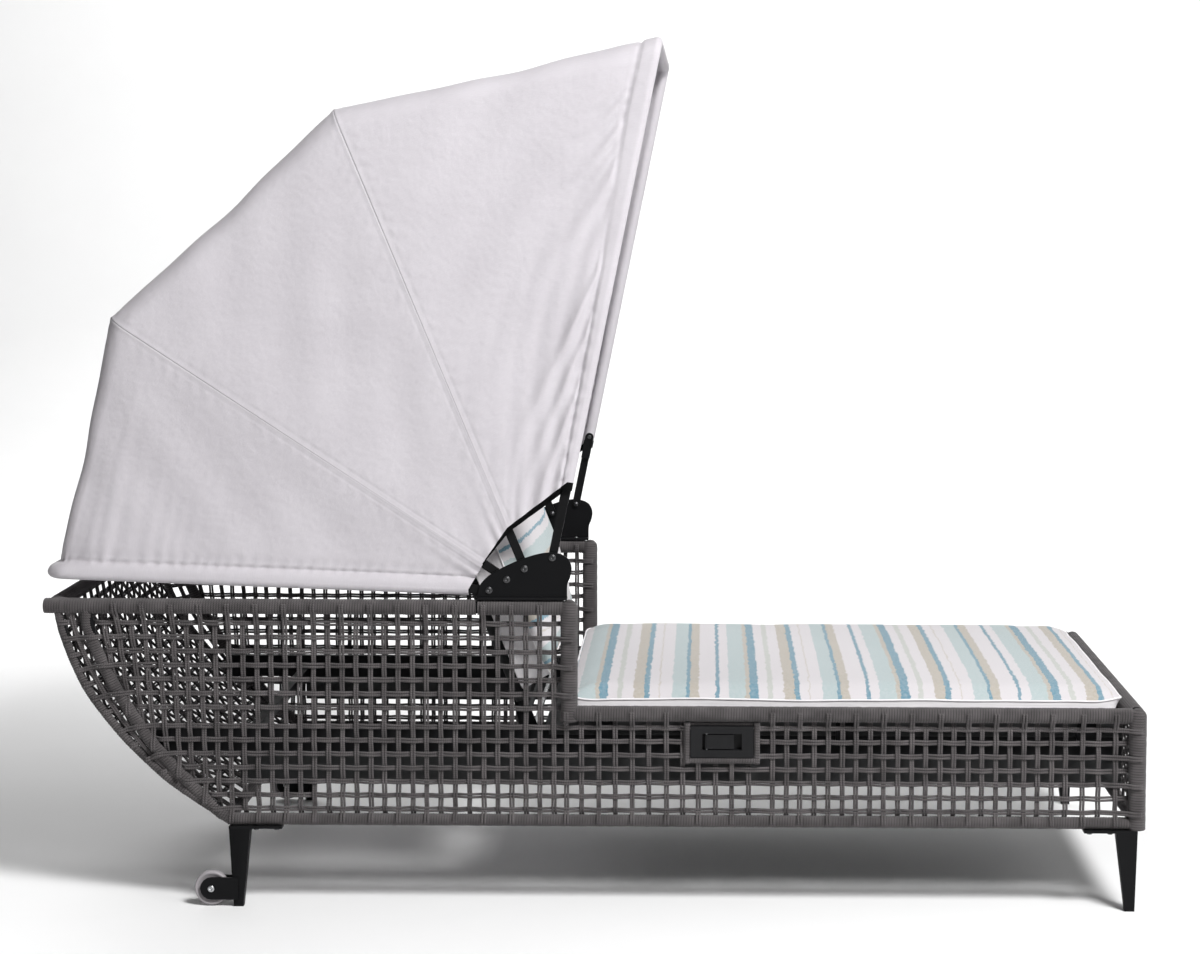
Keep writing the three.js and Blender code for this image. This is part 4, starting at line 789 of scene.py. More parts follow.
for side in sides:
    finish_piece(arm_net(side).piece("arm_net_" + side, cord_cloth), "frame", "cord", "arm_weave_" + side)
    finish_piece(seat_net(side).piece("seat_net_" + side, cord_cloth), "frame", "cord", "seat_weave_" + side)
    finish_piece(side_wraps(side).piece("side_wraps_" + side, cord_cloth), "frame", "cord")
finish_piece(head_panel().piece("head_net", cord_cloth), "frame", "cord", "head_weave")
finish_piece(foot_panel().piece("foot_net", cord_cloth), "frame", "cord", "foot_weave")


# Round metal: bows, screws, wheels and the gas spring
class Metal(Sweep):
    """Gathers turned and round metal into one mesh"""

    def turn(self, profile, centre, axis, count=36):
        """Turns (radius, height) pairs round an axis; a third value of 1 makes that ring a hexagon"""
        u = unit(np.cross(axis, [0.3, 0.1, 1.0]))
        angle = np.arange(count)[:, None] * 2 * np.pi / count
        spread = np.cos(angle) * u + np.sin(angle) * np.cross(axis, u)
        sixth = np.pi / 3
        hexagon = 1 / np.cos((angle + sixth / 2) % sixth - sixth / 2)
        for radius, height, *hexed in profile:
            reach = max(radius, least_r) * (hexagon if hexed else 1)
            self.points.append(centre + height * axis + reach * spread)
        faces = ring_cells(len(profile), count)[0]
        self.faces.append(faces + self.count)
        self.uvs.append(np.zeros((faces.size, 2)))
        self.count += len(profile) * count

    def bar(self, start, end, radius, bevel=0.0005):
        start, end = np.asarray(start, float), np.asarray(end, float)
        length = np.linalg.norm(end - start)
        profile = [(0, 0), (radius - bevel, 0), (radius, bevel), (radius, length - bevel),
                   (radius - bevel, length), (0, length)]
        self.turn(profile, start, (end - start) / length)

    def socket_screw(self, centre, axis, radius, height):
        """A button head with a hexagon socket"""
        edge, socket = 0.22 * height, 0.42 * radius
        self.turn([(0, 0), (radius - edge / 2, 0), (radius, edge), (radius, 0.55 * height),
                   (0.93 * radius, 0.82 * height), (0.78 * radius, 0.97 * height), (0.6 * radius, height),
                   (socket, height, 1), (0.92 * socket, 0.9 * height, 1), (0.9 * socket, 0.35 * height, 1),
                   (0, 0.3 * height)], centre, axis)

    def nut(self, centre, axis, radius, height):
        self.turn([(0, 0), (0.86 * radius, 0, 1), (0.86 * radius, 0.85 * height, 1), (0.78 * radius, height),
                   (0.5 * radius, height), (0.48 * radius, 1.15 * height), (0, 1.2 * height)], centre, axis)


def node_body(node):
    return body_of(nodes[node])[0]


def bevelled(piece, width, steps=2):
    modifier = piece.modifiers.new("bevel", "BEVEL")
    modifier.width, modifier.segments = width, steps
    modifier.limit_method, modifier.angle_limit = "ANGLE", math.radians(28)
    modifier.harden_normals = False
    return piece


def dress(node, material, width=0.0):
    """Gives a CAD node a material and, where it has edges to show, a bevel"""
    piece = nodes[node]
    piece.data.materials.clear()
    piece.data.materials.append(material)
    if width:
        bevelled(piece, width)


def pivot_of(bow):
    along, up = bow["pivot"]
    return np.array([plate_x + along * plate_length, 0, plate_z + up * plate_height])


def direction_of(bow):
    return np.array([math.cos(math.radians(bow["angle"])), 0, math.sin(math.radians(bow["angle"]))])


def forward_of(bow):
    """Across the bow's plane, on the side of the bow ahead of it"""
    return np.array([math.sin(math.radians(bow["angle"])), 0, -math.cos(math.radians(bow["angle"]))])


def bow_point(bow, reach, y):
    return pivot_of(bow) + reach * direction_of(bow) + y * y_axis


for name, bow in bows.items():
    reach, arm = bow["reach"] * front_reach, bow["arm"] * front_arm
    start = bow_point(bow, arm + screw_play, -bow_y)
    corner = rounded_corner(bow_point(bow, arm, -bow_y), bow_point(bow, reach, -bow_y),
                            bow_point(bow, reach, 0), bow_corner, 12)
    line = np.vstack([start, corner, (corner * mirror)[::-1], start * mirror])
    tube = Metal()
    tube.add(line, forward_of(bow), bow_tube, 24)
    finish_piece(tube.piece(name + "_bow_tube", bow_black), bow_bodies[name], "bow_tube", name + "_bow")
    for side, sign in sides.items():
        dress(f"{name}_bow_arm_{side}", bow_black, 0.0008)
        out, pivot, node = sign * y_axis, pivot_of(bow), f"{name}_bow_pivot_{side}"
        face, nut_face = plate_y + plate_thickness, bow_y - arm_thickness / 2 - screw_play
        screw = Metal()
        screw.turn(washer_profile, pivot + face * out, out)
        screw.socket_screw(pivot + (face + washer_rise) * out, out, screw_head_r, screw_head)
        screw.nut(pivot + nut_face * out, -out, screw_head_r, screw_head)
        screw.bar(pivot + (nut_face - screw_head / 2) * out, pivot + (face + screw_head / 2) * out, screw_r)
        finish_piece(screw.piece(node + "_screw", screw_steel), node_body(node), "bright_steel", node)
        rivet = Metal()
        rivet_place = bow_point(bow, arm - rivet_inset, sign * (bow_y - arm_thickness / 2))
        rivet.turn(rivet_profile, rivet_place, -out)
        finish_piece(rivet.piece(f"{name}_bow_rivet_{side}", screw_steel), bow_bodies[name], "bright_steel")


def flat_plate(name, outline, low, high, flange=None):
    """A plate cut to an outline in x and z, between two y places, and perhaps a flange on it"""
    shape = bmesh.new()
    rings = [[shape.verts.new((x, y, z)) for x, _, z in outline] for y in sorted((low, high))]
    shape.faces.new(rings[0])
    shape.faces.new(rings[1][::-1])
    for index in range(len(outline)):
        after = (index + 1) % len(outline)
        shape.faces.new((rings[0][index], rings[1][index], rings[1][after], rings[0][after]))
    if flange:
        middle, size = Vector(flange[0]), Vector(flange[1])
        for corner in bmesh.ops.create_cube(shape, size=1)["verts"]:
            corner.co = middle + corner.co * size
    bmesh.ops.recalc_face_normals(shape, faces=shape.faces)
    mesh = bpy.data.meshes.new(name)
    shape.to_mesh(mesh)
    shape.free()
    mesh.materials.append(black)
    piece = bpy.data.objects.new(name, mesh)
    bpy.context.scene.collection.objects.link(piece)
    return bevelled(piece, 0.0009)


def hinge_plate(side):
    """The upright plate with its curved outline, and the flange that it stands on"""
    sign = sides[side]
    places = [(plate_x + x * plate_length, 0, plate_z + z * plate_height) for x, z in plate_shares]
    outline, outer = resample(places, plate_step), plate_y + plate_thickness
    length = plate_shares[-1][0] * plate_length
    flange = ((plate_x + length / 2, sign * side_y, plate_z + flange_thickness / 2),
              (length, flange_width, flange_thickness))
    return flat_plate("hinge_side_" + side, outline, sign * plate_y, sign * outer, flange)


def front_lug(side):
    """The rounded end of the front bow's arm, inside the cloth, with the screw that holds the bow to it"""
    sign, bow = sides[side], bows["front"]
    along, across = direction_of(bow), forward_of(bow)
    turn = np.radians(np.linspace(-90, 90, 15))
    end = bow_point(bow, bow["arm"] * front_arm, 0)
    rim = end + lug_half * (np.cos(turn)[:, None] * along + np.sin(turn)[:, None] * across)
    start = end - lug_length * along
    outline = np.vstack([start - lug_half * across, rim, start + lug_half * across])
    inner = bow_y - cloth_standoff - lug_proud
    piece = flat_plate("front_lug_" + side, outline, sign * inner, sign * (bow_y - arm_thickness / 2))
    finish_piece(piece, "front_bow_body", "plate_metal")
    screw = Metal()
    screw.socket_screw(end + sign * inner * y_axis, -sign * y_axis, lug_screw_r, small_screw_head)
    finish_piece(screw.piece("front_lug_screw_" + side, screw_steel), "front_bow_body", "bright_steel")


def both_faces(profile):
    """A closed profile, from the half of it below the middle"""
    return profile + [(radius, -height) for radius, height in profile[::-1]] + profile[:1]


def wheel_and_axle(side, sign):
    """A wheel with its tyre, and its axle with a screw head at each end"""
    centre = np.array([wheel_x, sign * side_y, wheel_z])
    half, rim = wheel_width / 2, wheel_r - tyre_depth
    hub = [(radius, depth - half) for radius, depth in hub_profile]
    hub += [(rim + radius, depth - half) for radius, depth in rim_profile]
    tyre = [(rim, tyre_foot_depth - half), (rim + tyre_foot, -half)]
    tyre += [(wheel_r + radius, depth - half) for radius, depth in tyre_profile]
    wheel = Metal()
    for profile in (hub, tyre):
        wheel.turn(both_faces(profile), centre, y_axis, 64)
    node = "wheel_" + side
    finish_piece(wheel.piece("wheel_tyre_" + side, grey_plastic), node_body(node), "wheel_grey", node)
    reach = (fork_face + fork_inset) * y_axis
    axle = Metal()
    axle.bar(centre - reach, centre + reach, axle_r)
    for direction in (y_axis, -y_axis):
        axle.socket_screw(centre + fork_face * direction, direction, axle_head_r, axle_head)
    node = "wheel_axle_" + side
    finish_piece(axle.piece("wheel_axle_screws_" + side, silver), node_body(node), "bright_steel", node)


for side, sign in sides.items():
    node = "hinge_plate_" + side
    finish_piece(hinge_plate(side), node_body(node), "plate_metal", node)
    front_lug(side)
    flange_screws = Metal()
    for share in flange_screw_shares:
        place = (plate_x + share * plate_length, sign * (side_y - flange_inset), plate_z + flange_thickness)
        flange_screws.socket_screw(np.array(place), z_axis, small_screw_r, small_screw_head)
    finish_piece(flange_screws.piece("hinge_flange_screws_" + side, silver), "frame", "bright_steel")
    wheel_and_axle(side, sign)
    for leg in ("leg_head", "leg_foot"):
        dress(f"{leg}_{side}", black, 0.0012)
        dress(f"{leg}_bolts_{side}", screw_steel, 0.0004)
    dress("side_frame_" + side, black)


def spring_part(name, node, material, slot, end, reach, radius, bevel=0.0005):
    """The gas spring's cylinder or rod, with the eye at its end"""
    along, half = unit(spring_head - spring_foot), spring_eye_width / 2
    part = Metal()
    part.bar(end + reach[0] * along, end + reach[1] * along, radius, bevel)
    part.turn(both_faces([(spring_hole, -half), (spring_eye, -half)]), end, y_axis)
    finish_piece(part.piece(name, material), node_body(node), slot, node)


spring_part("gas_spring_tube", "gas_spring_cylinder", black, "spring_black", spring_foot, cylinder_reach,
            spring_tube_r, spring_bevel)
spring_part("gas_spring_piston", "gas_spring_rod", silver, "bright_steel", spring_head, rod_reach,
            spring_rod_r)

for node in ("head_rim", "head_lower_rail", "foot_frame"):
    dress(node, black)
dress("deck_frame", deck_black, 0.0015)
dress("backrest_frame", deck_black)
dress("backrest_hinge_rod", silver)
dress("paddle_pin", silver)
dress("handle_housing", black_plastic, 0.0018)
dress("release_paddle", black_plastic, 0.001)


# Cushions and slings
def tilted_back(points):
    """From the backrest's flat frame to where it stands"""
    points = np.asarray(points, float)
    cos, sin = math.cos(back_tilt), math.sin(back_tilt)
    x, z = points[..., 0] * cos + points[..., 2] * sin, points[..., 2] * cos - points[..., 0] * sin
    return hinge + np.stack([x, points[..., 1], z], axis=-1)


def plan_of(share_x, share_y, half, corner):
    """A place in a rounded rectangle, from its shares across the plain one"""
    place = np.stack([share_x * half[0], share_y * half[1]], axis=-1)
    reach = half - corner
    beyond = np.abs(place) - reach
    both = (beyond > 0).all(axis=-1)
    length = np.linalg.norm(beyond, axis=-1)
    scale = np.where(both, np.max(beyond, axis=-1) / np.maximum(length, 1e-9), 1)
    moved = np.sign(place) * (reach + beyond * scale[..., None])
    return np.where(both[..., None], moved, place)


def soft_waves(x, y, seed):
    """Slow uneven waves, from -1 to 1"""
    phase = np.random.default_rng(seed).uniform(0, 2 * np.pi, 6)
    return (np.sin(x * 17 + 3 * np.sin(y * 7 + phase[0]) + phase[1]) * 0.45
            + np.sin(y * 23 + 2 * np.sin(x * 11 + phase[2]) + phase[3]) * 0.35
            + np.sin((x + y) * 41 + phase[4]) * 0.2)


def read_points(mesh):
    points = np.empty(len(mesh.vertices) * 3, np.float32)
    mesh.vertices.foreach_get("co", points)
    return points.reshape(-1, 3)


def write_points(mesh, points):
    mesh.vertices.foreach_set("co", np.asarray(points, np.float32).ravel())


def cushion_form(pad, half, rise):
    """A boxed cushion laid flat: its points, faces, material slots and seam, and how many points on top"""
    nx, ny = (2 * half / pad_cell).round().astype(int)
    share_x, share_y = np.meshgrid(np.linspace(-1, 1, nx + 1), np.linspace(-1, 1, ny + 1), indexing="ij")
    plan = plan_of(share_x, share_y, half, pad_corner).reshape(-1, 2)
    bend = (np.abs(share_x) ** 3 + np.abs(share_y) ** 3).ravel() ** (1 / 3)
    crown = pad["crown"] * np.clip(1 - bend ** 2, 0, 1) ** crown_power
    from_edge = np.min(half - np.abs(plan), axis=1)
    crown = crown + shoulder * (1 - np.exp(-np.clip(from_edge, 0, 1) / shoulder_run))
    lap = pad["lap"] * np.clip((plan[:, 0] - half[0]) / lap_run + 1, 0, 1) ** 2
    grid = np.arange(share_x.size).reshape(share_x.shape)
    loop = np.concatenate([grid[:-1, 0], grid[-1, :-1], grid[:0:-1, -1], grid[0, :0:-1]])
    total, edge = grid.size, plan[loop]
    points = [np.column_stack([plan[:, 0] + lap, plan[:, 1], rise + crown]),
              np.column_stack([plan, np.zeros(total)])]
    rings = [loop]
    for level in range(1, pad_levels):
        share = level / pad_levels
        drawn = edge - unit(edge) * side_draw * math.sin(math.pi * share)
        points.append(np.column_stack([drawn, np.full(len(loop), rise * (1 - share))]))
        rings.append(2 * total + (level - 1) * len(loop) + np.arange(len(loop)))
    rings.append(total + loop)
    a, b, c, d = [part.ravel() for part in (grid[:-1, :-1], grid[1:, :-1], grid[1:, 1:], grid[:-1, 1:])]
    walls = [np.column_stack([lower, np.roll(lower, -1), np.roll(upper, -1), upper])
             for upper, lower in zip(rings, rings[1:])]
    faces = np.vstack([np.column_stack([a, b, c, d]), np.column_stack([a, d, c, b]) + total, *walls])
    sizes = [len(a), len(a), *map(len, walls)]
    slots = np.repeat([0, 2, *[1] * (pad_levels - 1), pad["base"]], sizes)
    return np.vstack(points), faces, slots, loop, total


def blow_up(piece, points, total, cap):
    """Lets air into a cushion's cloth over its held underside; no point moves farther than the cap"""
    group = piece.vertex_groups.new(name="held")
    group.add(list(range(total, 2 * total)), 1, "REPLACE")
    cloth = piece.modifiers.new("blown up", "CLOTH")
    settings = cloth.settings
    settings.quality, settings.mass = 6, 0.3
    settings.tension_stiffness = settings.compression_stiffness = 18
    settings.bending_stiffness = 0.4
    settings.use_pressure, settings.uniform_pressure_force = True, 4
    settings.effector_weights.gravity = 0
    settings.vertex_group_mass = "held"
    cloth.collision_settings.use_collision = False
    cloth.point_cache.frame_start, cloth.point_cache.frame_end = 1, blow_steps
    for step in range(1, blow_steps + 1):
        bpy.context.scene.frame_set(step)
    shape = piece.evaluated_get(bpy.context.evaluated_depsgraph_get())
    moved = read_points(shape.data) - points
    length = np.linalg.norm(moved, axis=1, keepdims=True)
    piece.modifiers.clear()
    bpy.context.scene.frame_set(1)
    return points + moved * np.minimum(1, cap / np.maximum(length, 1e-9))


def smoothed(piece, count, seams):
    """Rounds a cushion off, with its seams kept sharper"""
    crease = piece.data.attributes.new("crease_edge", "FLOAT", "EDGE")
    ends = np.empty(len(piece.data.edges) * 2, np.int32)
    piece.data.edges.foreach_get("vertices", ends)
    on_seam = np.isin(np.arange(count), seams)[ends.reshape(-1, 2)].all(axis=1)
    crease.data.foreach_set("value", np.where(on_seam, seam_crease, 0).astype(np.float32))
    modifier = piece.modifiers.new("smooth", "SUBSURF")
    modifier.levels = modifier.render_levels = 2
    apply_modifiers(piece)
    return piece.data


def cushion(name, pad):
    """A cushion in its own flat frame, the shift to its place, and its two seams"""
    low, high = np.array(pad["low"]), np.array(pad["high"])
    half, middle = (high - low) / 2 - pad_inset, (high + low) / 2
    rise = pad["thickness"] - pad_allowance - shoulder
    points, faces, slots, loop, total = cushion_form(pad, half, rise)
    piece = mesh_object(name, points, faces, [stripes, boxing, base_cloth], slots=slots)
    points = blow_up(piece, points, total, pad["cap"])
    waves = soft_waves(points[:, 0], points[:, 1], pad["seed"])
    waves[total:2 * total] = 0
    write_points(piece.data, points + np.column_stack([0 * waves, side_wave * waves, top_wave * waves]))
    mesh = smoothed(piece, len(points), np.concatenate([loop, total + loop]))
    final = read_points(mesh).astype(float)
    seams = [final[loop], final[total + loop]]
    tight = np.exp(-np.clip(np.min(half - np.abs(final[:, :2]), axis=1), 0, 1) / pucker_reach)
    around = final[:, 0] + final[:, 1]
    pucker = np.sin(around * 190 + 4 * np.sin(around * 31)) * (final[:, 2] > 0.5 * rise)
    final[:, 2] += pucker_height * tight * pucker
    write_points(mesh, final)
    corners = np.empty(len(mesh.loops), np.int32)
    mesh.loops.foreach_get("vertex_index", corners)
    slot = np.empty(len(mesh.polygons), np.int32)
    mesh.polygons.foreach_get("material_index", slot)
    place, is_side = final[corners], np.repeat(slot, 4).astype(bool)
    u = np.where(is_side, place[:, 0] + place[:, 1], place[:, 0] + middle[0])
    v = np.where(is_side, place[:, 2], place[:, 1])
    layer = mesh.uv_layers.get("along") or mesh.uv_layers.new(name="along")
    layer.data.foreach_set("uv", np.column_stack([u, v]).astype(np.float32).ravel())
    return piece, np.array([*middle, pad["bottom"]]), seams


def place_cushion(name, pad, body, node, into_place):
    """Puts a cushion and the welts along its seams in place"""
    piece, shift, seams = cushion(name, pad)
    write_points(piece.data, into_place(read_points(piece.data) + shift))
    piece.data.update()
    welt = Sweep()
    for seam in seams:
        line = resample(into_place(np.vstack([seam, seam[:2]]) + shift), welt_step)
        welt.add(line, np.array([0.05, 0.03, 1.0]), welt_r)
    finish_piece(welt.piece(name + "_welt", boxing), body, "cushion_cloth")
    finish_piece(piece, body, "cushion_cloth", node)


place_cushion("seat_pad", seat_pad, "frame", "seat_cushion", lambda points: points)
place_cushion("back_pad", back_pad, "backrest", "back_cushion", tilted_back)


def sheet_grid(name, points, materials, thickness, slots=None):
    """A sheet from a grid of points, with its own lengths as picture coordinates, and a thickness"""
    along, over = run_length(points), run_length(points, axis=1)
    index = np.arange(along.size).reshape(along.shape)
    corners = [index[:-1, :-1], index[:-1, 1:], index[1:, 1:], index[1:, :-1]]
    faces = np.stack(corners, axis=-1).reshape(-1, 4)
    uvs = np.column_stack([along.ravel()[faces.ravel()], over.ravel()[faces.ravel()]])
    piece = mesh_object(name, points.reshape(-1, 3), faces, materials, uvs, slots)
    modifier = piece.modifiers.new("thickness", "SOLIDIFY")
    modifier.thickness, modifier.offset = thickness, 0
    return piece


def grid_of(x, y, z):
    return np.dstack(np.broadcast_arrays(x, y, z))


def sling_grid(x, edge, middle_y, middle_z):
    """A sling's points: an edge in y and z, the flat middle, and the same edge on the other side"""
    middle = [(y, middle_z) for y in middle_y]
    y, z = np.array(edge + middle + [(-y, z) for y, z in edge[::-1]]).T
    return grid_of(x[:, None], y, z)


def seat_sling():
    """Mesh cloth over the deck rails, turned down round their outer edges"""
    x = np.linspace(deck_head_x, deck_foot_x, 60)
    points = sling_grid(x, sling_edge, np.linspace(-sling_half, sling_half, 40), sling_top)
    piece = sheet_grid("seat_sling_mesh", points, sling_cloth, sling_thickness)
    finish_piece(piece, "frame", "sling", "seat_sling")


def backrest_sling():
    """Mesh cloth wrapped round the backrest's side tubes"""
    reach = back_tube + back_hem / 2
    turns = np.radians(np.linspace(-80, 90, 12))
    wrap = [(-back_half - reach * math.cos(turn), reach * math.sin(turn)) for turn in turns]
    x = np.linspace(-back_start, -back_length + rim_corner, 40)
    points = sling_grid(x, wrap, np.linspace(-back_sling_half, back_sling_half, 30), reach)
    piece = sheet_grid("backrest_sling_mesh", tilted_back(points), sling_cloth, sling_thickness)
    finish_piece(piece, "backrest", "sling", "backrest_sling")


def under_deck_shade_sheet(name, sign):
    """Painted shade: a dark mesh sheet hung from a side rail of the deck, inside the side net, standing in
    for the shade under the deck
    """
    x, z = np.linspace(shade_sheet_head_x, deck_foot_x, 90)[:, None], np.linspace(shade_sheet_top, shade_sheet_bottom, 8)
    sway = shade_sheet_sway * np.sin(x * 23) * np.linspace(0, 1, len(z))
    piece = sheet_grid(name, grid_of(x, sign * (deck_rail_y + sway), z), sling_cloth, sling_thickness)
    finish_piece(piece, "frame", "sling")


seat_sling()
backrest_sling()
under_deck_shade_sheet("near_shade_sheet", -1)
under_deck_shade_sheet("far_shade_sheet", 1)

# Canopy: one cloth over the four bows, in three gores that meet in ridged seams on the bows
def bow_stations(bow):
    """Places along a bow from its near arm to its far arm, and the way out of the canopy at each"""
    reach, hem = bow["reach"] * front_reach, bow["hem"]
    straight = reach - bow_corner
    web = np.linspace(0, bow["web"], web_cells + 1)[:-1]
    legs = np.concatenate([web, np.linspace(bow["web"], straight - hem, leg_stations)[:-1]]) + hem
    places = [bow_point(bow, leg, -bow_y) for leg in legs]
    outs = [-y_axis] * len(legs)
    for turn in np.linspace(0, math.pi / 2, corner_stations)[:-1]:
        out = math.sin(turn) * direction_of(bow) - math.cos(turn) * y_axis
        places.append(bow_point(bow, straight, bow_corner - bow_y) + bow_corner * out)
        outs.append(out)
    for y in np.linspace(bow_corner - bow_y, 0, top_stations):
        places.append(bow_point(bow, reach, y))
        outs.append(direction_of(bow))
    return [np.vstack([half, (half[:-1] * mirror)[::-1]]) for half in (np.array(places), np.array(outs))]


def bump_at(distance, width):
    return np.exp(-(distance / width) ** 2)


class Gore:
    """A gore's outer face: rows from the bow ahead (a) to the one behind (b), stations round the canopy"""

    def __init__(self, ahead, behind):
        self.ahead, self.behind = ahead, behind
        (first, first_out), (last, last_out) = bow_stations(bows[ahead]), bow_stations(bows[behind])
        first, last = first + cloth_standoff * first_out, last + cloth_standoff * last_out
        linear = np.linspace(0, 1, gore_rows)
        self.share = 0.55 * linear + 0.45 * (1 - np.cos(np.pi * linear)) / 2
        self.flat = first[None] + self.share[:, None, None] * (last - first)[None]
        self.out = unit(first_out + last_out)[None]
        self.width = np.linalg.norm(last - first, axis=1)[None]
        self.a = self.share[:, None] * self.width
        self.b = self.width - self.a
        self.around = run_length(first)[None]
        self.end = np.minimum(self.around, self.around[0, -1] - self.around)
        leg = bows[ahead]["reach"] * front_reach - bow_corner - bows[ahead]["hem"]
        self.down = np.clip(leg - self.end, -1, leg)
        self.on_leg = np.clip(self.down / 0.05, 0, 1)
        count = self.around.size
        self.phase = np.where(np.arange(count) < count / 2, 0.0, 2.1)[None]
        self.swell = np.sin(np.pi * self.share[:, None])

    def slack(self):
        """Sag and slow waves, and ruffles near the arms"""
        a, end = self.a, self.end
        slow = np.sin(a * 31 + end * 13 + self.phase) * np.sin(end * 9 + a * 7 + 1 + self.phase)
        ruffle = np.sin(a * 2 * np.pi / 0.031 + 3 * np.sin(a * 40) + self.phase) * np.exp(-end / 0.05)
        return (-cloth_sag * self.swell ** 2 * np.minimum(1, self.width / 0.5)
                + slow_wave * slow * self.swell * np.minimum(1, self.width / 0.3)
                + ruffle_height * ruffle * self.swell ** 0.5)

    def seam(self, place):
        """A ridged seam on one of the middle bows, with puckers beside it"""
        pucker = np.sin(self.around * 2 * np.pi / 0.034 + 2.5 * np.sin(self.around * 17) + self.phase)
        return (ridge * bump_at(place, 0.0034) - ridge_dip * bump_at(place - 0.0105, 0.0028)
                + seam_wave * pucker * bump_at(place - 0.016, 0.012))

    def hem(self, place, front):
        """The stitched groove of an end bow's hem, its puckers, and the hollow beside it"""
        width, gather, groove = rear_hem, 1, rear_groove
        if front:
            width = np.interp(self.down, hem_down, hem_width)
            gather = np.interp(self.down, seam_places, seam_pucker)
            groove = front_groove * np.interp(self.down, seam_places, seam_depth)
        pucker = 1 + 0.45 * gather * np.sin(self.around * 2 * np.pi / 0.026 + 2 * np.sin(self.around * 23))
        hollow = hem_hollow * bump_at(place - width - 0.01, 0.012)
        return -pucker * (groove * bump_at(place - width, 0.0042) + hollow)

    def sleeve(self):
        """How far the cloth stands in above the rear hem, and the folds that hang there"""
        down, b = self.down, self.b
        stand = sleeve_stand + (sleeve_side_stand - sleeve_stand) * self.on_leg
        past_hem = (self.width - b) / (self.width - rear_hem)
        beyond = np.where(b < rear_hem, (np.clip(b, 0, None) / rear_hem) ** 1.6, past_hem)
        hung = np.sin(down * 2 * np.pi / 0.034 + 1.6 * np.sin(down * 31) + b * 9) * self.on_leg
        fade = np.exp(-np.clip(down, 0, 1) / 0.13 - np.clip(b - rear_hem, 0, 1) / 0.12) * (b > rear_hem)
        return hung_fold * hung * fade - stand * np.clip(beyond, 0, 1)

    def folds(self):
        """Creases, slow folds and a frill that run from the front hem"""
        down, hem = self.down, np.interp(self.down, hem_down, hem_width)
        run = self.a - hem
        rise = 0
        for start, length, slope, depth, spread in creases:
            stretch = math.hypot(1, slope)
            off = (down - start - slope * run - 0.02 * np.sin(run * 30)) / stretch
            along = run * stretch
            fade = np.clip(along / 0.012, 0, 1) * np.clip(1 - along / length, 0, 1) ** 0.8
            fold = bump_at(off, spread) - 0.55 * bump_at(off - 2.1 * spread, 1.3 * spread)
            rise = rise + depth * fold * fade * self.on_leg * (run > 0)
        deep = np.clip((down - 0.18) / 0.25, 0, 1) * np.exp(-np.clip(run, 0, 1) / 0.09) * (run > 0)
        slow = np.sin(run * 2 * np.pi / 0.048 - 0.8 + 2.5 * np.sin(down * 9))
        frill = np.sin(down * 2 * np.pi / 0.036 + 45 * self.a + 1.5 * np.sin(down * 37))
        frill = frill * bump_at(self.a - 0.75 * hem, 0.012) * np.interp(down, seam_places, seam_frill)
        return rise + slow_fold * deep * slow + frill_height * frill * self.on_leg

    def surface(self):
        rise = self.slack()
        for place, edge in ((self.a, self.ahead), (self.b, self.behind)):
            inner = edge in ("second", "third")
            rise = rise + (self.seam(place) if inner else self.hem(place, edge == "front"))
        if self.behind == "rear":
            rise = rise + self.sleeve()
        if self.ahead == "front":
            rise = rise + self.folds()
        taper = np.clip(np.minimum(self.a / 0.02, self.b / 0.02), 0.35, 1)
        return self.flat + (rise * taper)[..., None] * self.out


def line_across(surface, places):
    """The line on a gore at the given distances from its first row, one for each station"""
    across = np.linalg.norm(surface - surface[0], axis=2)
    return np.array([[np.interp(place, far, line[:, axis]) for axis in range(3)]
                     for place, far, line in zip(places, across.T, surface.transpose(1, 0, 2))])


def hem_rows(name, surface):
    """The cloth that goes round an end bow and back under itself to its seam"""
    bow, front = bows[name], name == "front"
    places, outs = bow_stations(bow)
    away = forward_of(bow) * (1 if front else -1)
    from_arm = np.linalg.norm(places - places[0], axis=1)
    end = np.minimum(from_arm, from_arm[::-1])
    leg = bow["reach"] * front_reach - bow_corner - bow["hem"]
    down = np.clip(leg - end, 0, leg)
    hem = np.interp(down, hem_down, hem_width) if front else np.full(len(places), rear_hem)
    seam = line_across(surface if front else surface[::-1], hem) - seam_inset * outs
    rows = [places + cloth_standoff * (math.cos(turn) * outs + math.sin(turn) * away)
            for turn in np.radians([245, 228, 205, 180, 155, 130, 105, 80, 55, 28])]
    return np.array([rows[0] + (seam - rows[0]) * share for share in (1, 0.66, 0.33)] + rows[1:])


def canopy_gore(index, weights, body):
    """One gore, blended between the frame and a bow's body, with its hem round an end bow"""
    ahead, behind = bow_names[index], bow_names[index + 1]
    gore = Gore(ahead, behind)
    rows = surface = gore.surface()
    weight = weights[0] + (weights[1] - weights[0]) * gore.share
    if ahead == "front":
        extra = hem_rows("front", surface)
        rows, weight = np.concatenate([extra, surface]), np.pad(weight, (len(extra), 0), "edge")
    if behind == "rear":
        extra = hem_rows("rear", surface)
        rows, weight = np.concatenate([surface, extra[::-1]]), np.pad(weight, (0, len(extra)), "edge")
    count = rows.shape[1]
    is_web = np.zeros(count - 1)
    is_web[:web_cells] = is_web[-web_cells:] = behind != "rear"
    slots = np.tile(is_web, len(rows) - 1)
    piece = sheet_grid(f"canopy_{ahead}_panel", rows, [canopy_cloth, web_cloth], cloth_thickness, slots)
    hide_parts(f"canopy_{gore_names[index]}_gore")
    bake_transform(piece, "frame", body, tuple(rows[0, 0]), tuple(rows[-1, count // 2]))
    values = np.repeat(weight, count).astype(np.float32)
    piece.data.attributes["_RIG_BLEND"].data.foreach_set("value", values)
    return surface


gore_names = ["front", "middle", "rear"]
front_surface = canopy_gore(0, (1.0, 0.658), "front_bow_body")
middle_surface = canopy_gore(1, (1.0, 0.477), "second_bow_body")
rear_surface = canopy_gore(2, (1.0, 0.0), "third_bow_body")


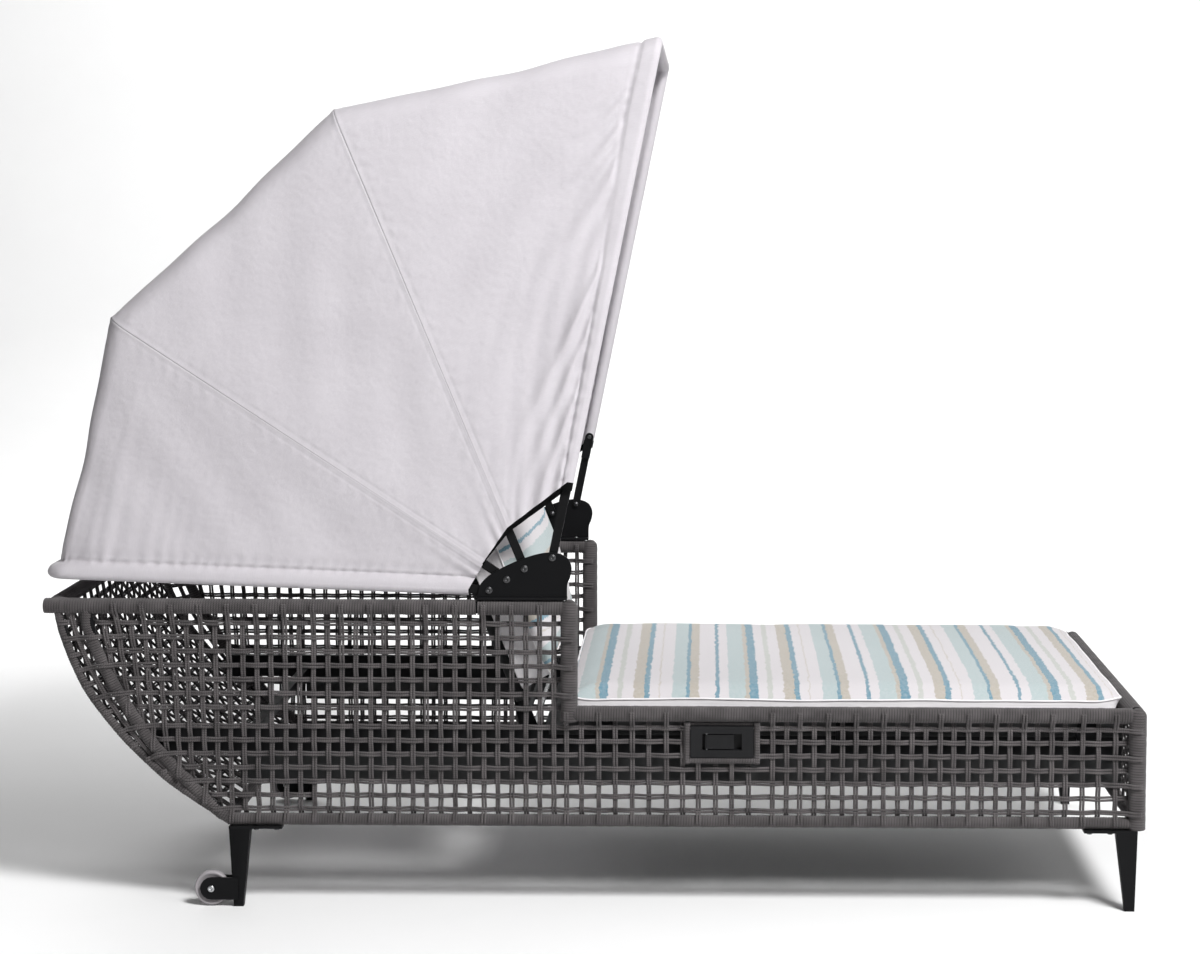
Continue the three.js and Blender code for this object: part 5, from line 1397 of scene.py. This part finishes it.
def seam_band(name, ahead_surface, behind_surface, width, bow):
    """A doubled band of cloth under a seam, from the gore ahead of a bow to the one behind it"""
    places, count = np.linspace(width, band_edge, band_rows), ahead_surface.shape[1]
    rows = [line_across(ahead_surface[::-1], np.full(count, place)) for place in places]
    rows += [line_across(behind_surface, np.full(count, place)) for place in places[::-1]]
    trimmed = np.array(rows)[:, 2:-2]
    inward = -unit(np.cross(np.gradient(trimmed, axis=0), np.gradient(trimmed, axis=1)))
    middle = trimmed.mean(axis=(0, 1))
    flip = np.sign(((middle - trimmed) * inward).sum(axis=2).mean())
    piece = sheet_grid(name, trimmed + band_proud * flip * inward, canopy_cloth, band_thickness)
    finish_piece(piece, bow + "_body", "canopy_cloth")


seam_band("second_seam_band", front_surface, middle_surface, 0.022, "second_bow")
seam_band("third_seam_band", middle_surface, rear_surface, 0.016, "third_bow")

# Floor, light and camera
def stage_sheet(name, profile, one_sided=False):
    """A wide pale sheet along X with a profile in y and z; a one-sided sheet is seen from its front alone"""
    material, tree, shader = new_material(name)
    tint = grey_ramp(tree, noise(tree, scale=3), 0.3, 0.886, 0.7, 0.9)
    put(tree, shader.inputs, {"Base Color": tint, "Roughness": 0.7})
    if one_sided:
        behind = tree.nodes.new("ShaderNodeNewGeometry").outputs["Backfacing"]
        mix_surface(tree, behind, shader, tree.nodes.new("ShaderNodeBsdfTransparent"))
    points = np.array([(x, y, z) for y, z in profile for x in (-floor_half, floor_half)])
    index = np.arange(len(profile) - 1) * 2
    mesh_object(name, points, np.column_stack([index, index + 1, index + 3, index + 2]), material)


floor_half, wall_start, wall_bend, wall_top = 30, 5, 3, 9
bend = [(wall_start + wall_bend * math.sin(turn), wall_bend * (1 - math.cos(turn)))
        for turn in np.radians(np.linspace(0, 90, 14))]
stage_sheet("studio_floor", [(-floor_half, 0), (wall_start, 0)])
stage_sheet("studio_wall", [*bend, (wall_start + wall_bend, wall_top)], one_sided=True)


def area_light(name, place, target, size, power):
    data = bpy.data.lights.new(name, "AREA")
    data.shape, data.size, data.energy = "SQUARE", size, power
    lamp = bpy.data.objects.new(name, data)
    lamp.location = place
    lamp.rotation_euler = (Vector(target) - Vector(place)).to_track_quat("-Z", "Y").to_euler()
    bpy.context.scene.collection.objects.link(lamp)


area_light("key", (2.4, -3.9, 5.0), (0, 0, 0.6), 1.5, 500)
area_light("front_right", (4.4, -3.0, 2.0), (0.2, 0, 0.6), 2.0, 50)
area_light("back_left", (-2.0, 4.6, 4.4), (0, 0, 0.7), 2.5, 110)
area_light("wall_wash", (0, 3.4, 5.2), (0, 8.0, 2.5), 4.0, 260)

world = bpy.data.worlds.new("studio")
world.use_nodes = True
world.node_tree.nodes["Background"].inputs["Color"].default_value = (1, 1, 1, 1)
world.node_tree.nodes["Background"].inputs["Strength"].default_value = 0.15
scene = bpy.context.scene
scene.world = world
scene.view_settings.view_transform = "Standard"

camera_place, camera_yaw, camera_pitch, camera_roll = (0.216, -5.77662, 1.37136), -0.01693, -0.07219, 0.00172
camera_data = bpy.data.cameras.new("photo_view")
camera_data.lens, camera_data.sensor_width = 82.3, 36
camera_data.shift_x, camera_data.shift_y = -0.05, -0.06
camera = bpy.data.objects.new("photo_view", camera_data)
ahead = Vector((math.sin(camera_yaw) * math.cos(camera_pitch), math.cos(camera_yaw) * math.cos(camera_pitch),
                math.sin(camera_pitch)))
level_right = Vector((math.cos(camera_yaw), -math.sin(camera_yaw), 0))
level_above = level_right.cross(ahead)
right = level_right * math.cos(camera_roll) + level_above * math.sin(camera_roll)
above = level_above * math.cos(camera_roll) - level_right * math.sin(camera_roll)
camera.matrix_world = Matrix.Translation(camera_place) @ Matrix((right, above, -ahead)).transposed().to_4x4()
scene.collection.objects.link(camera)
scene.camera = camera
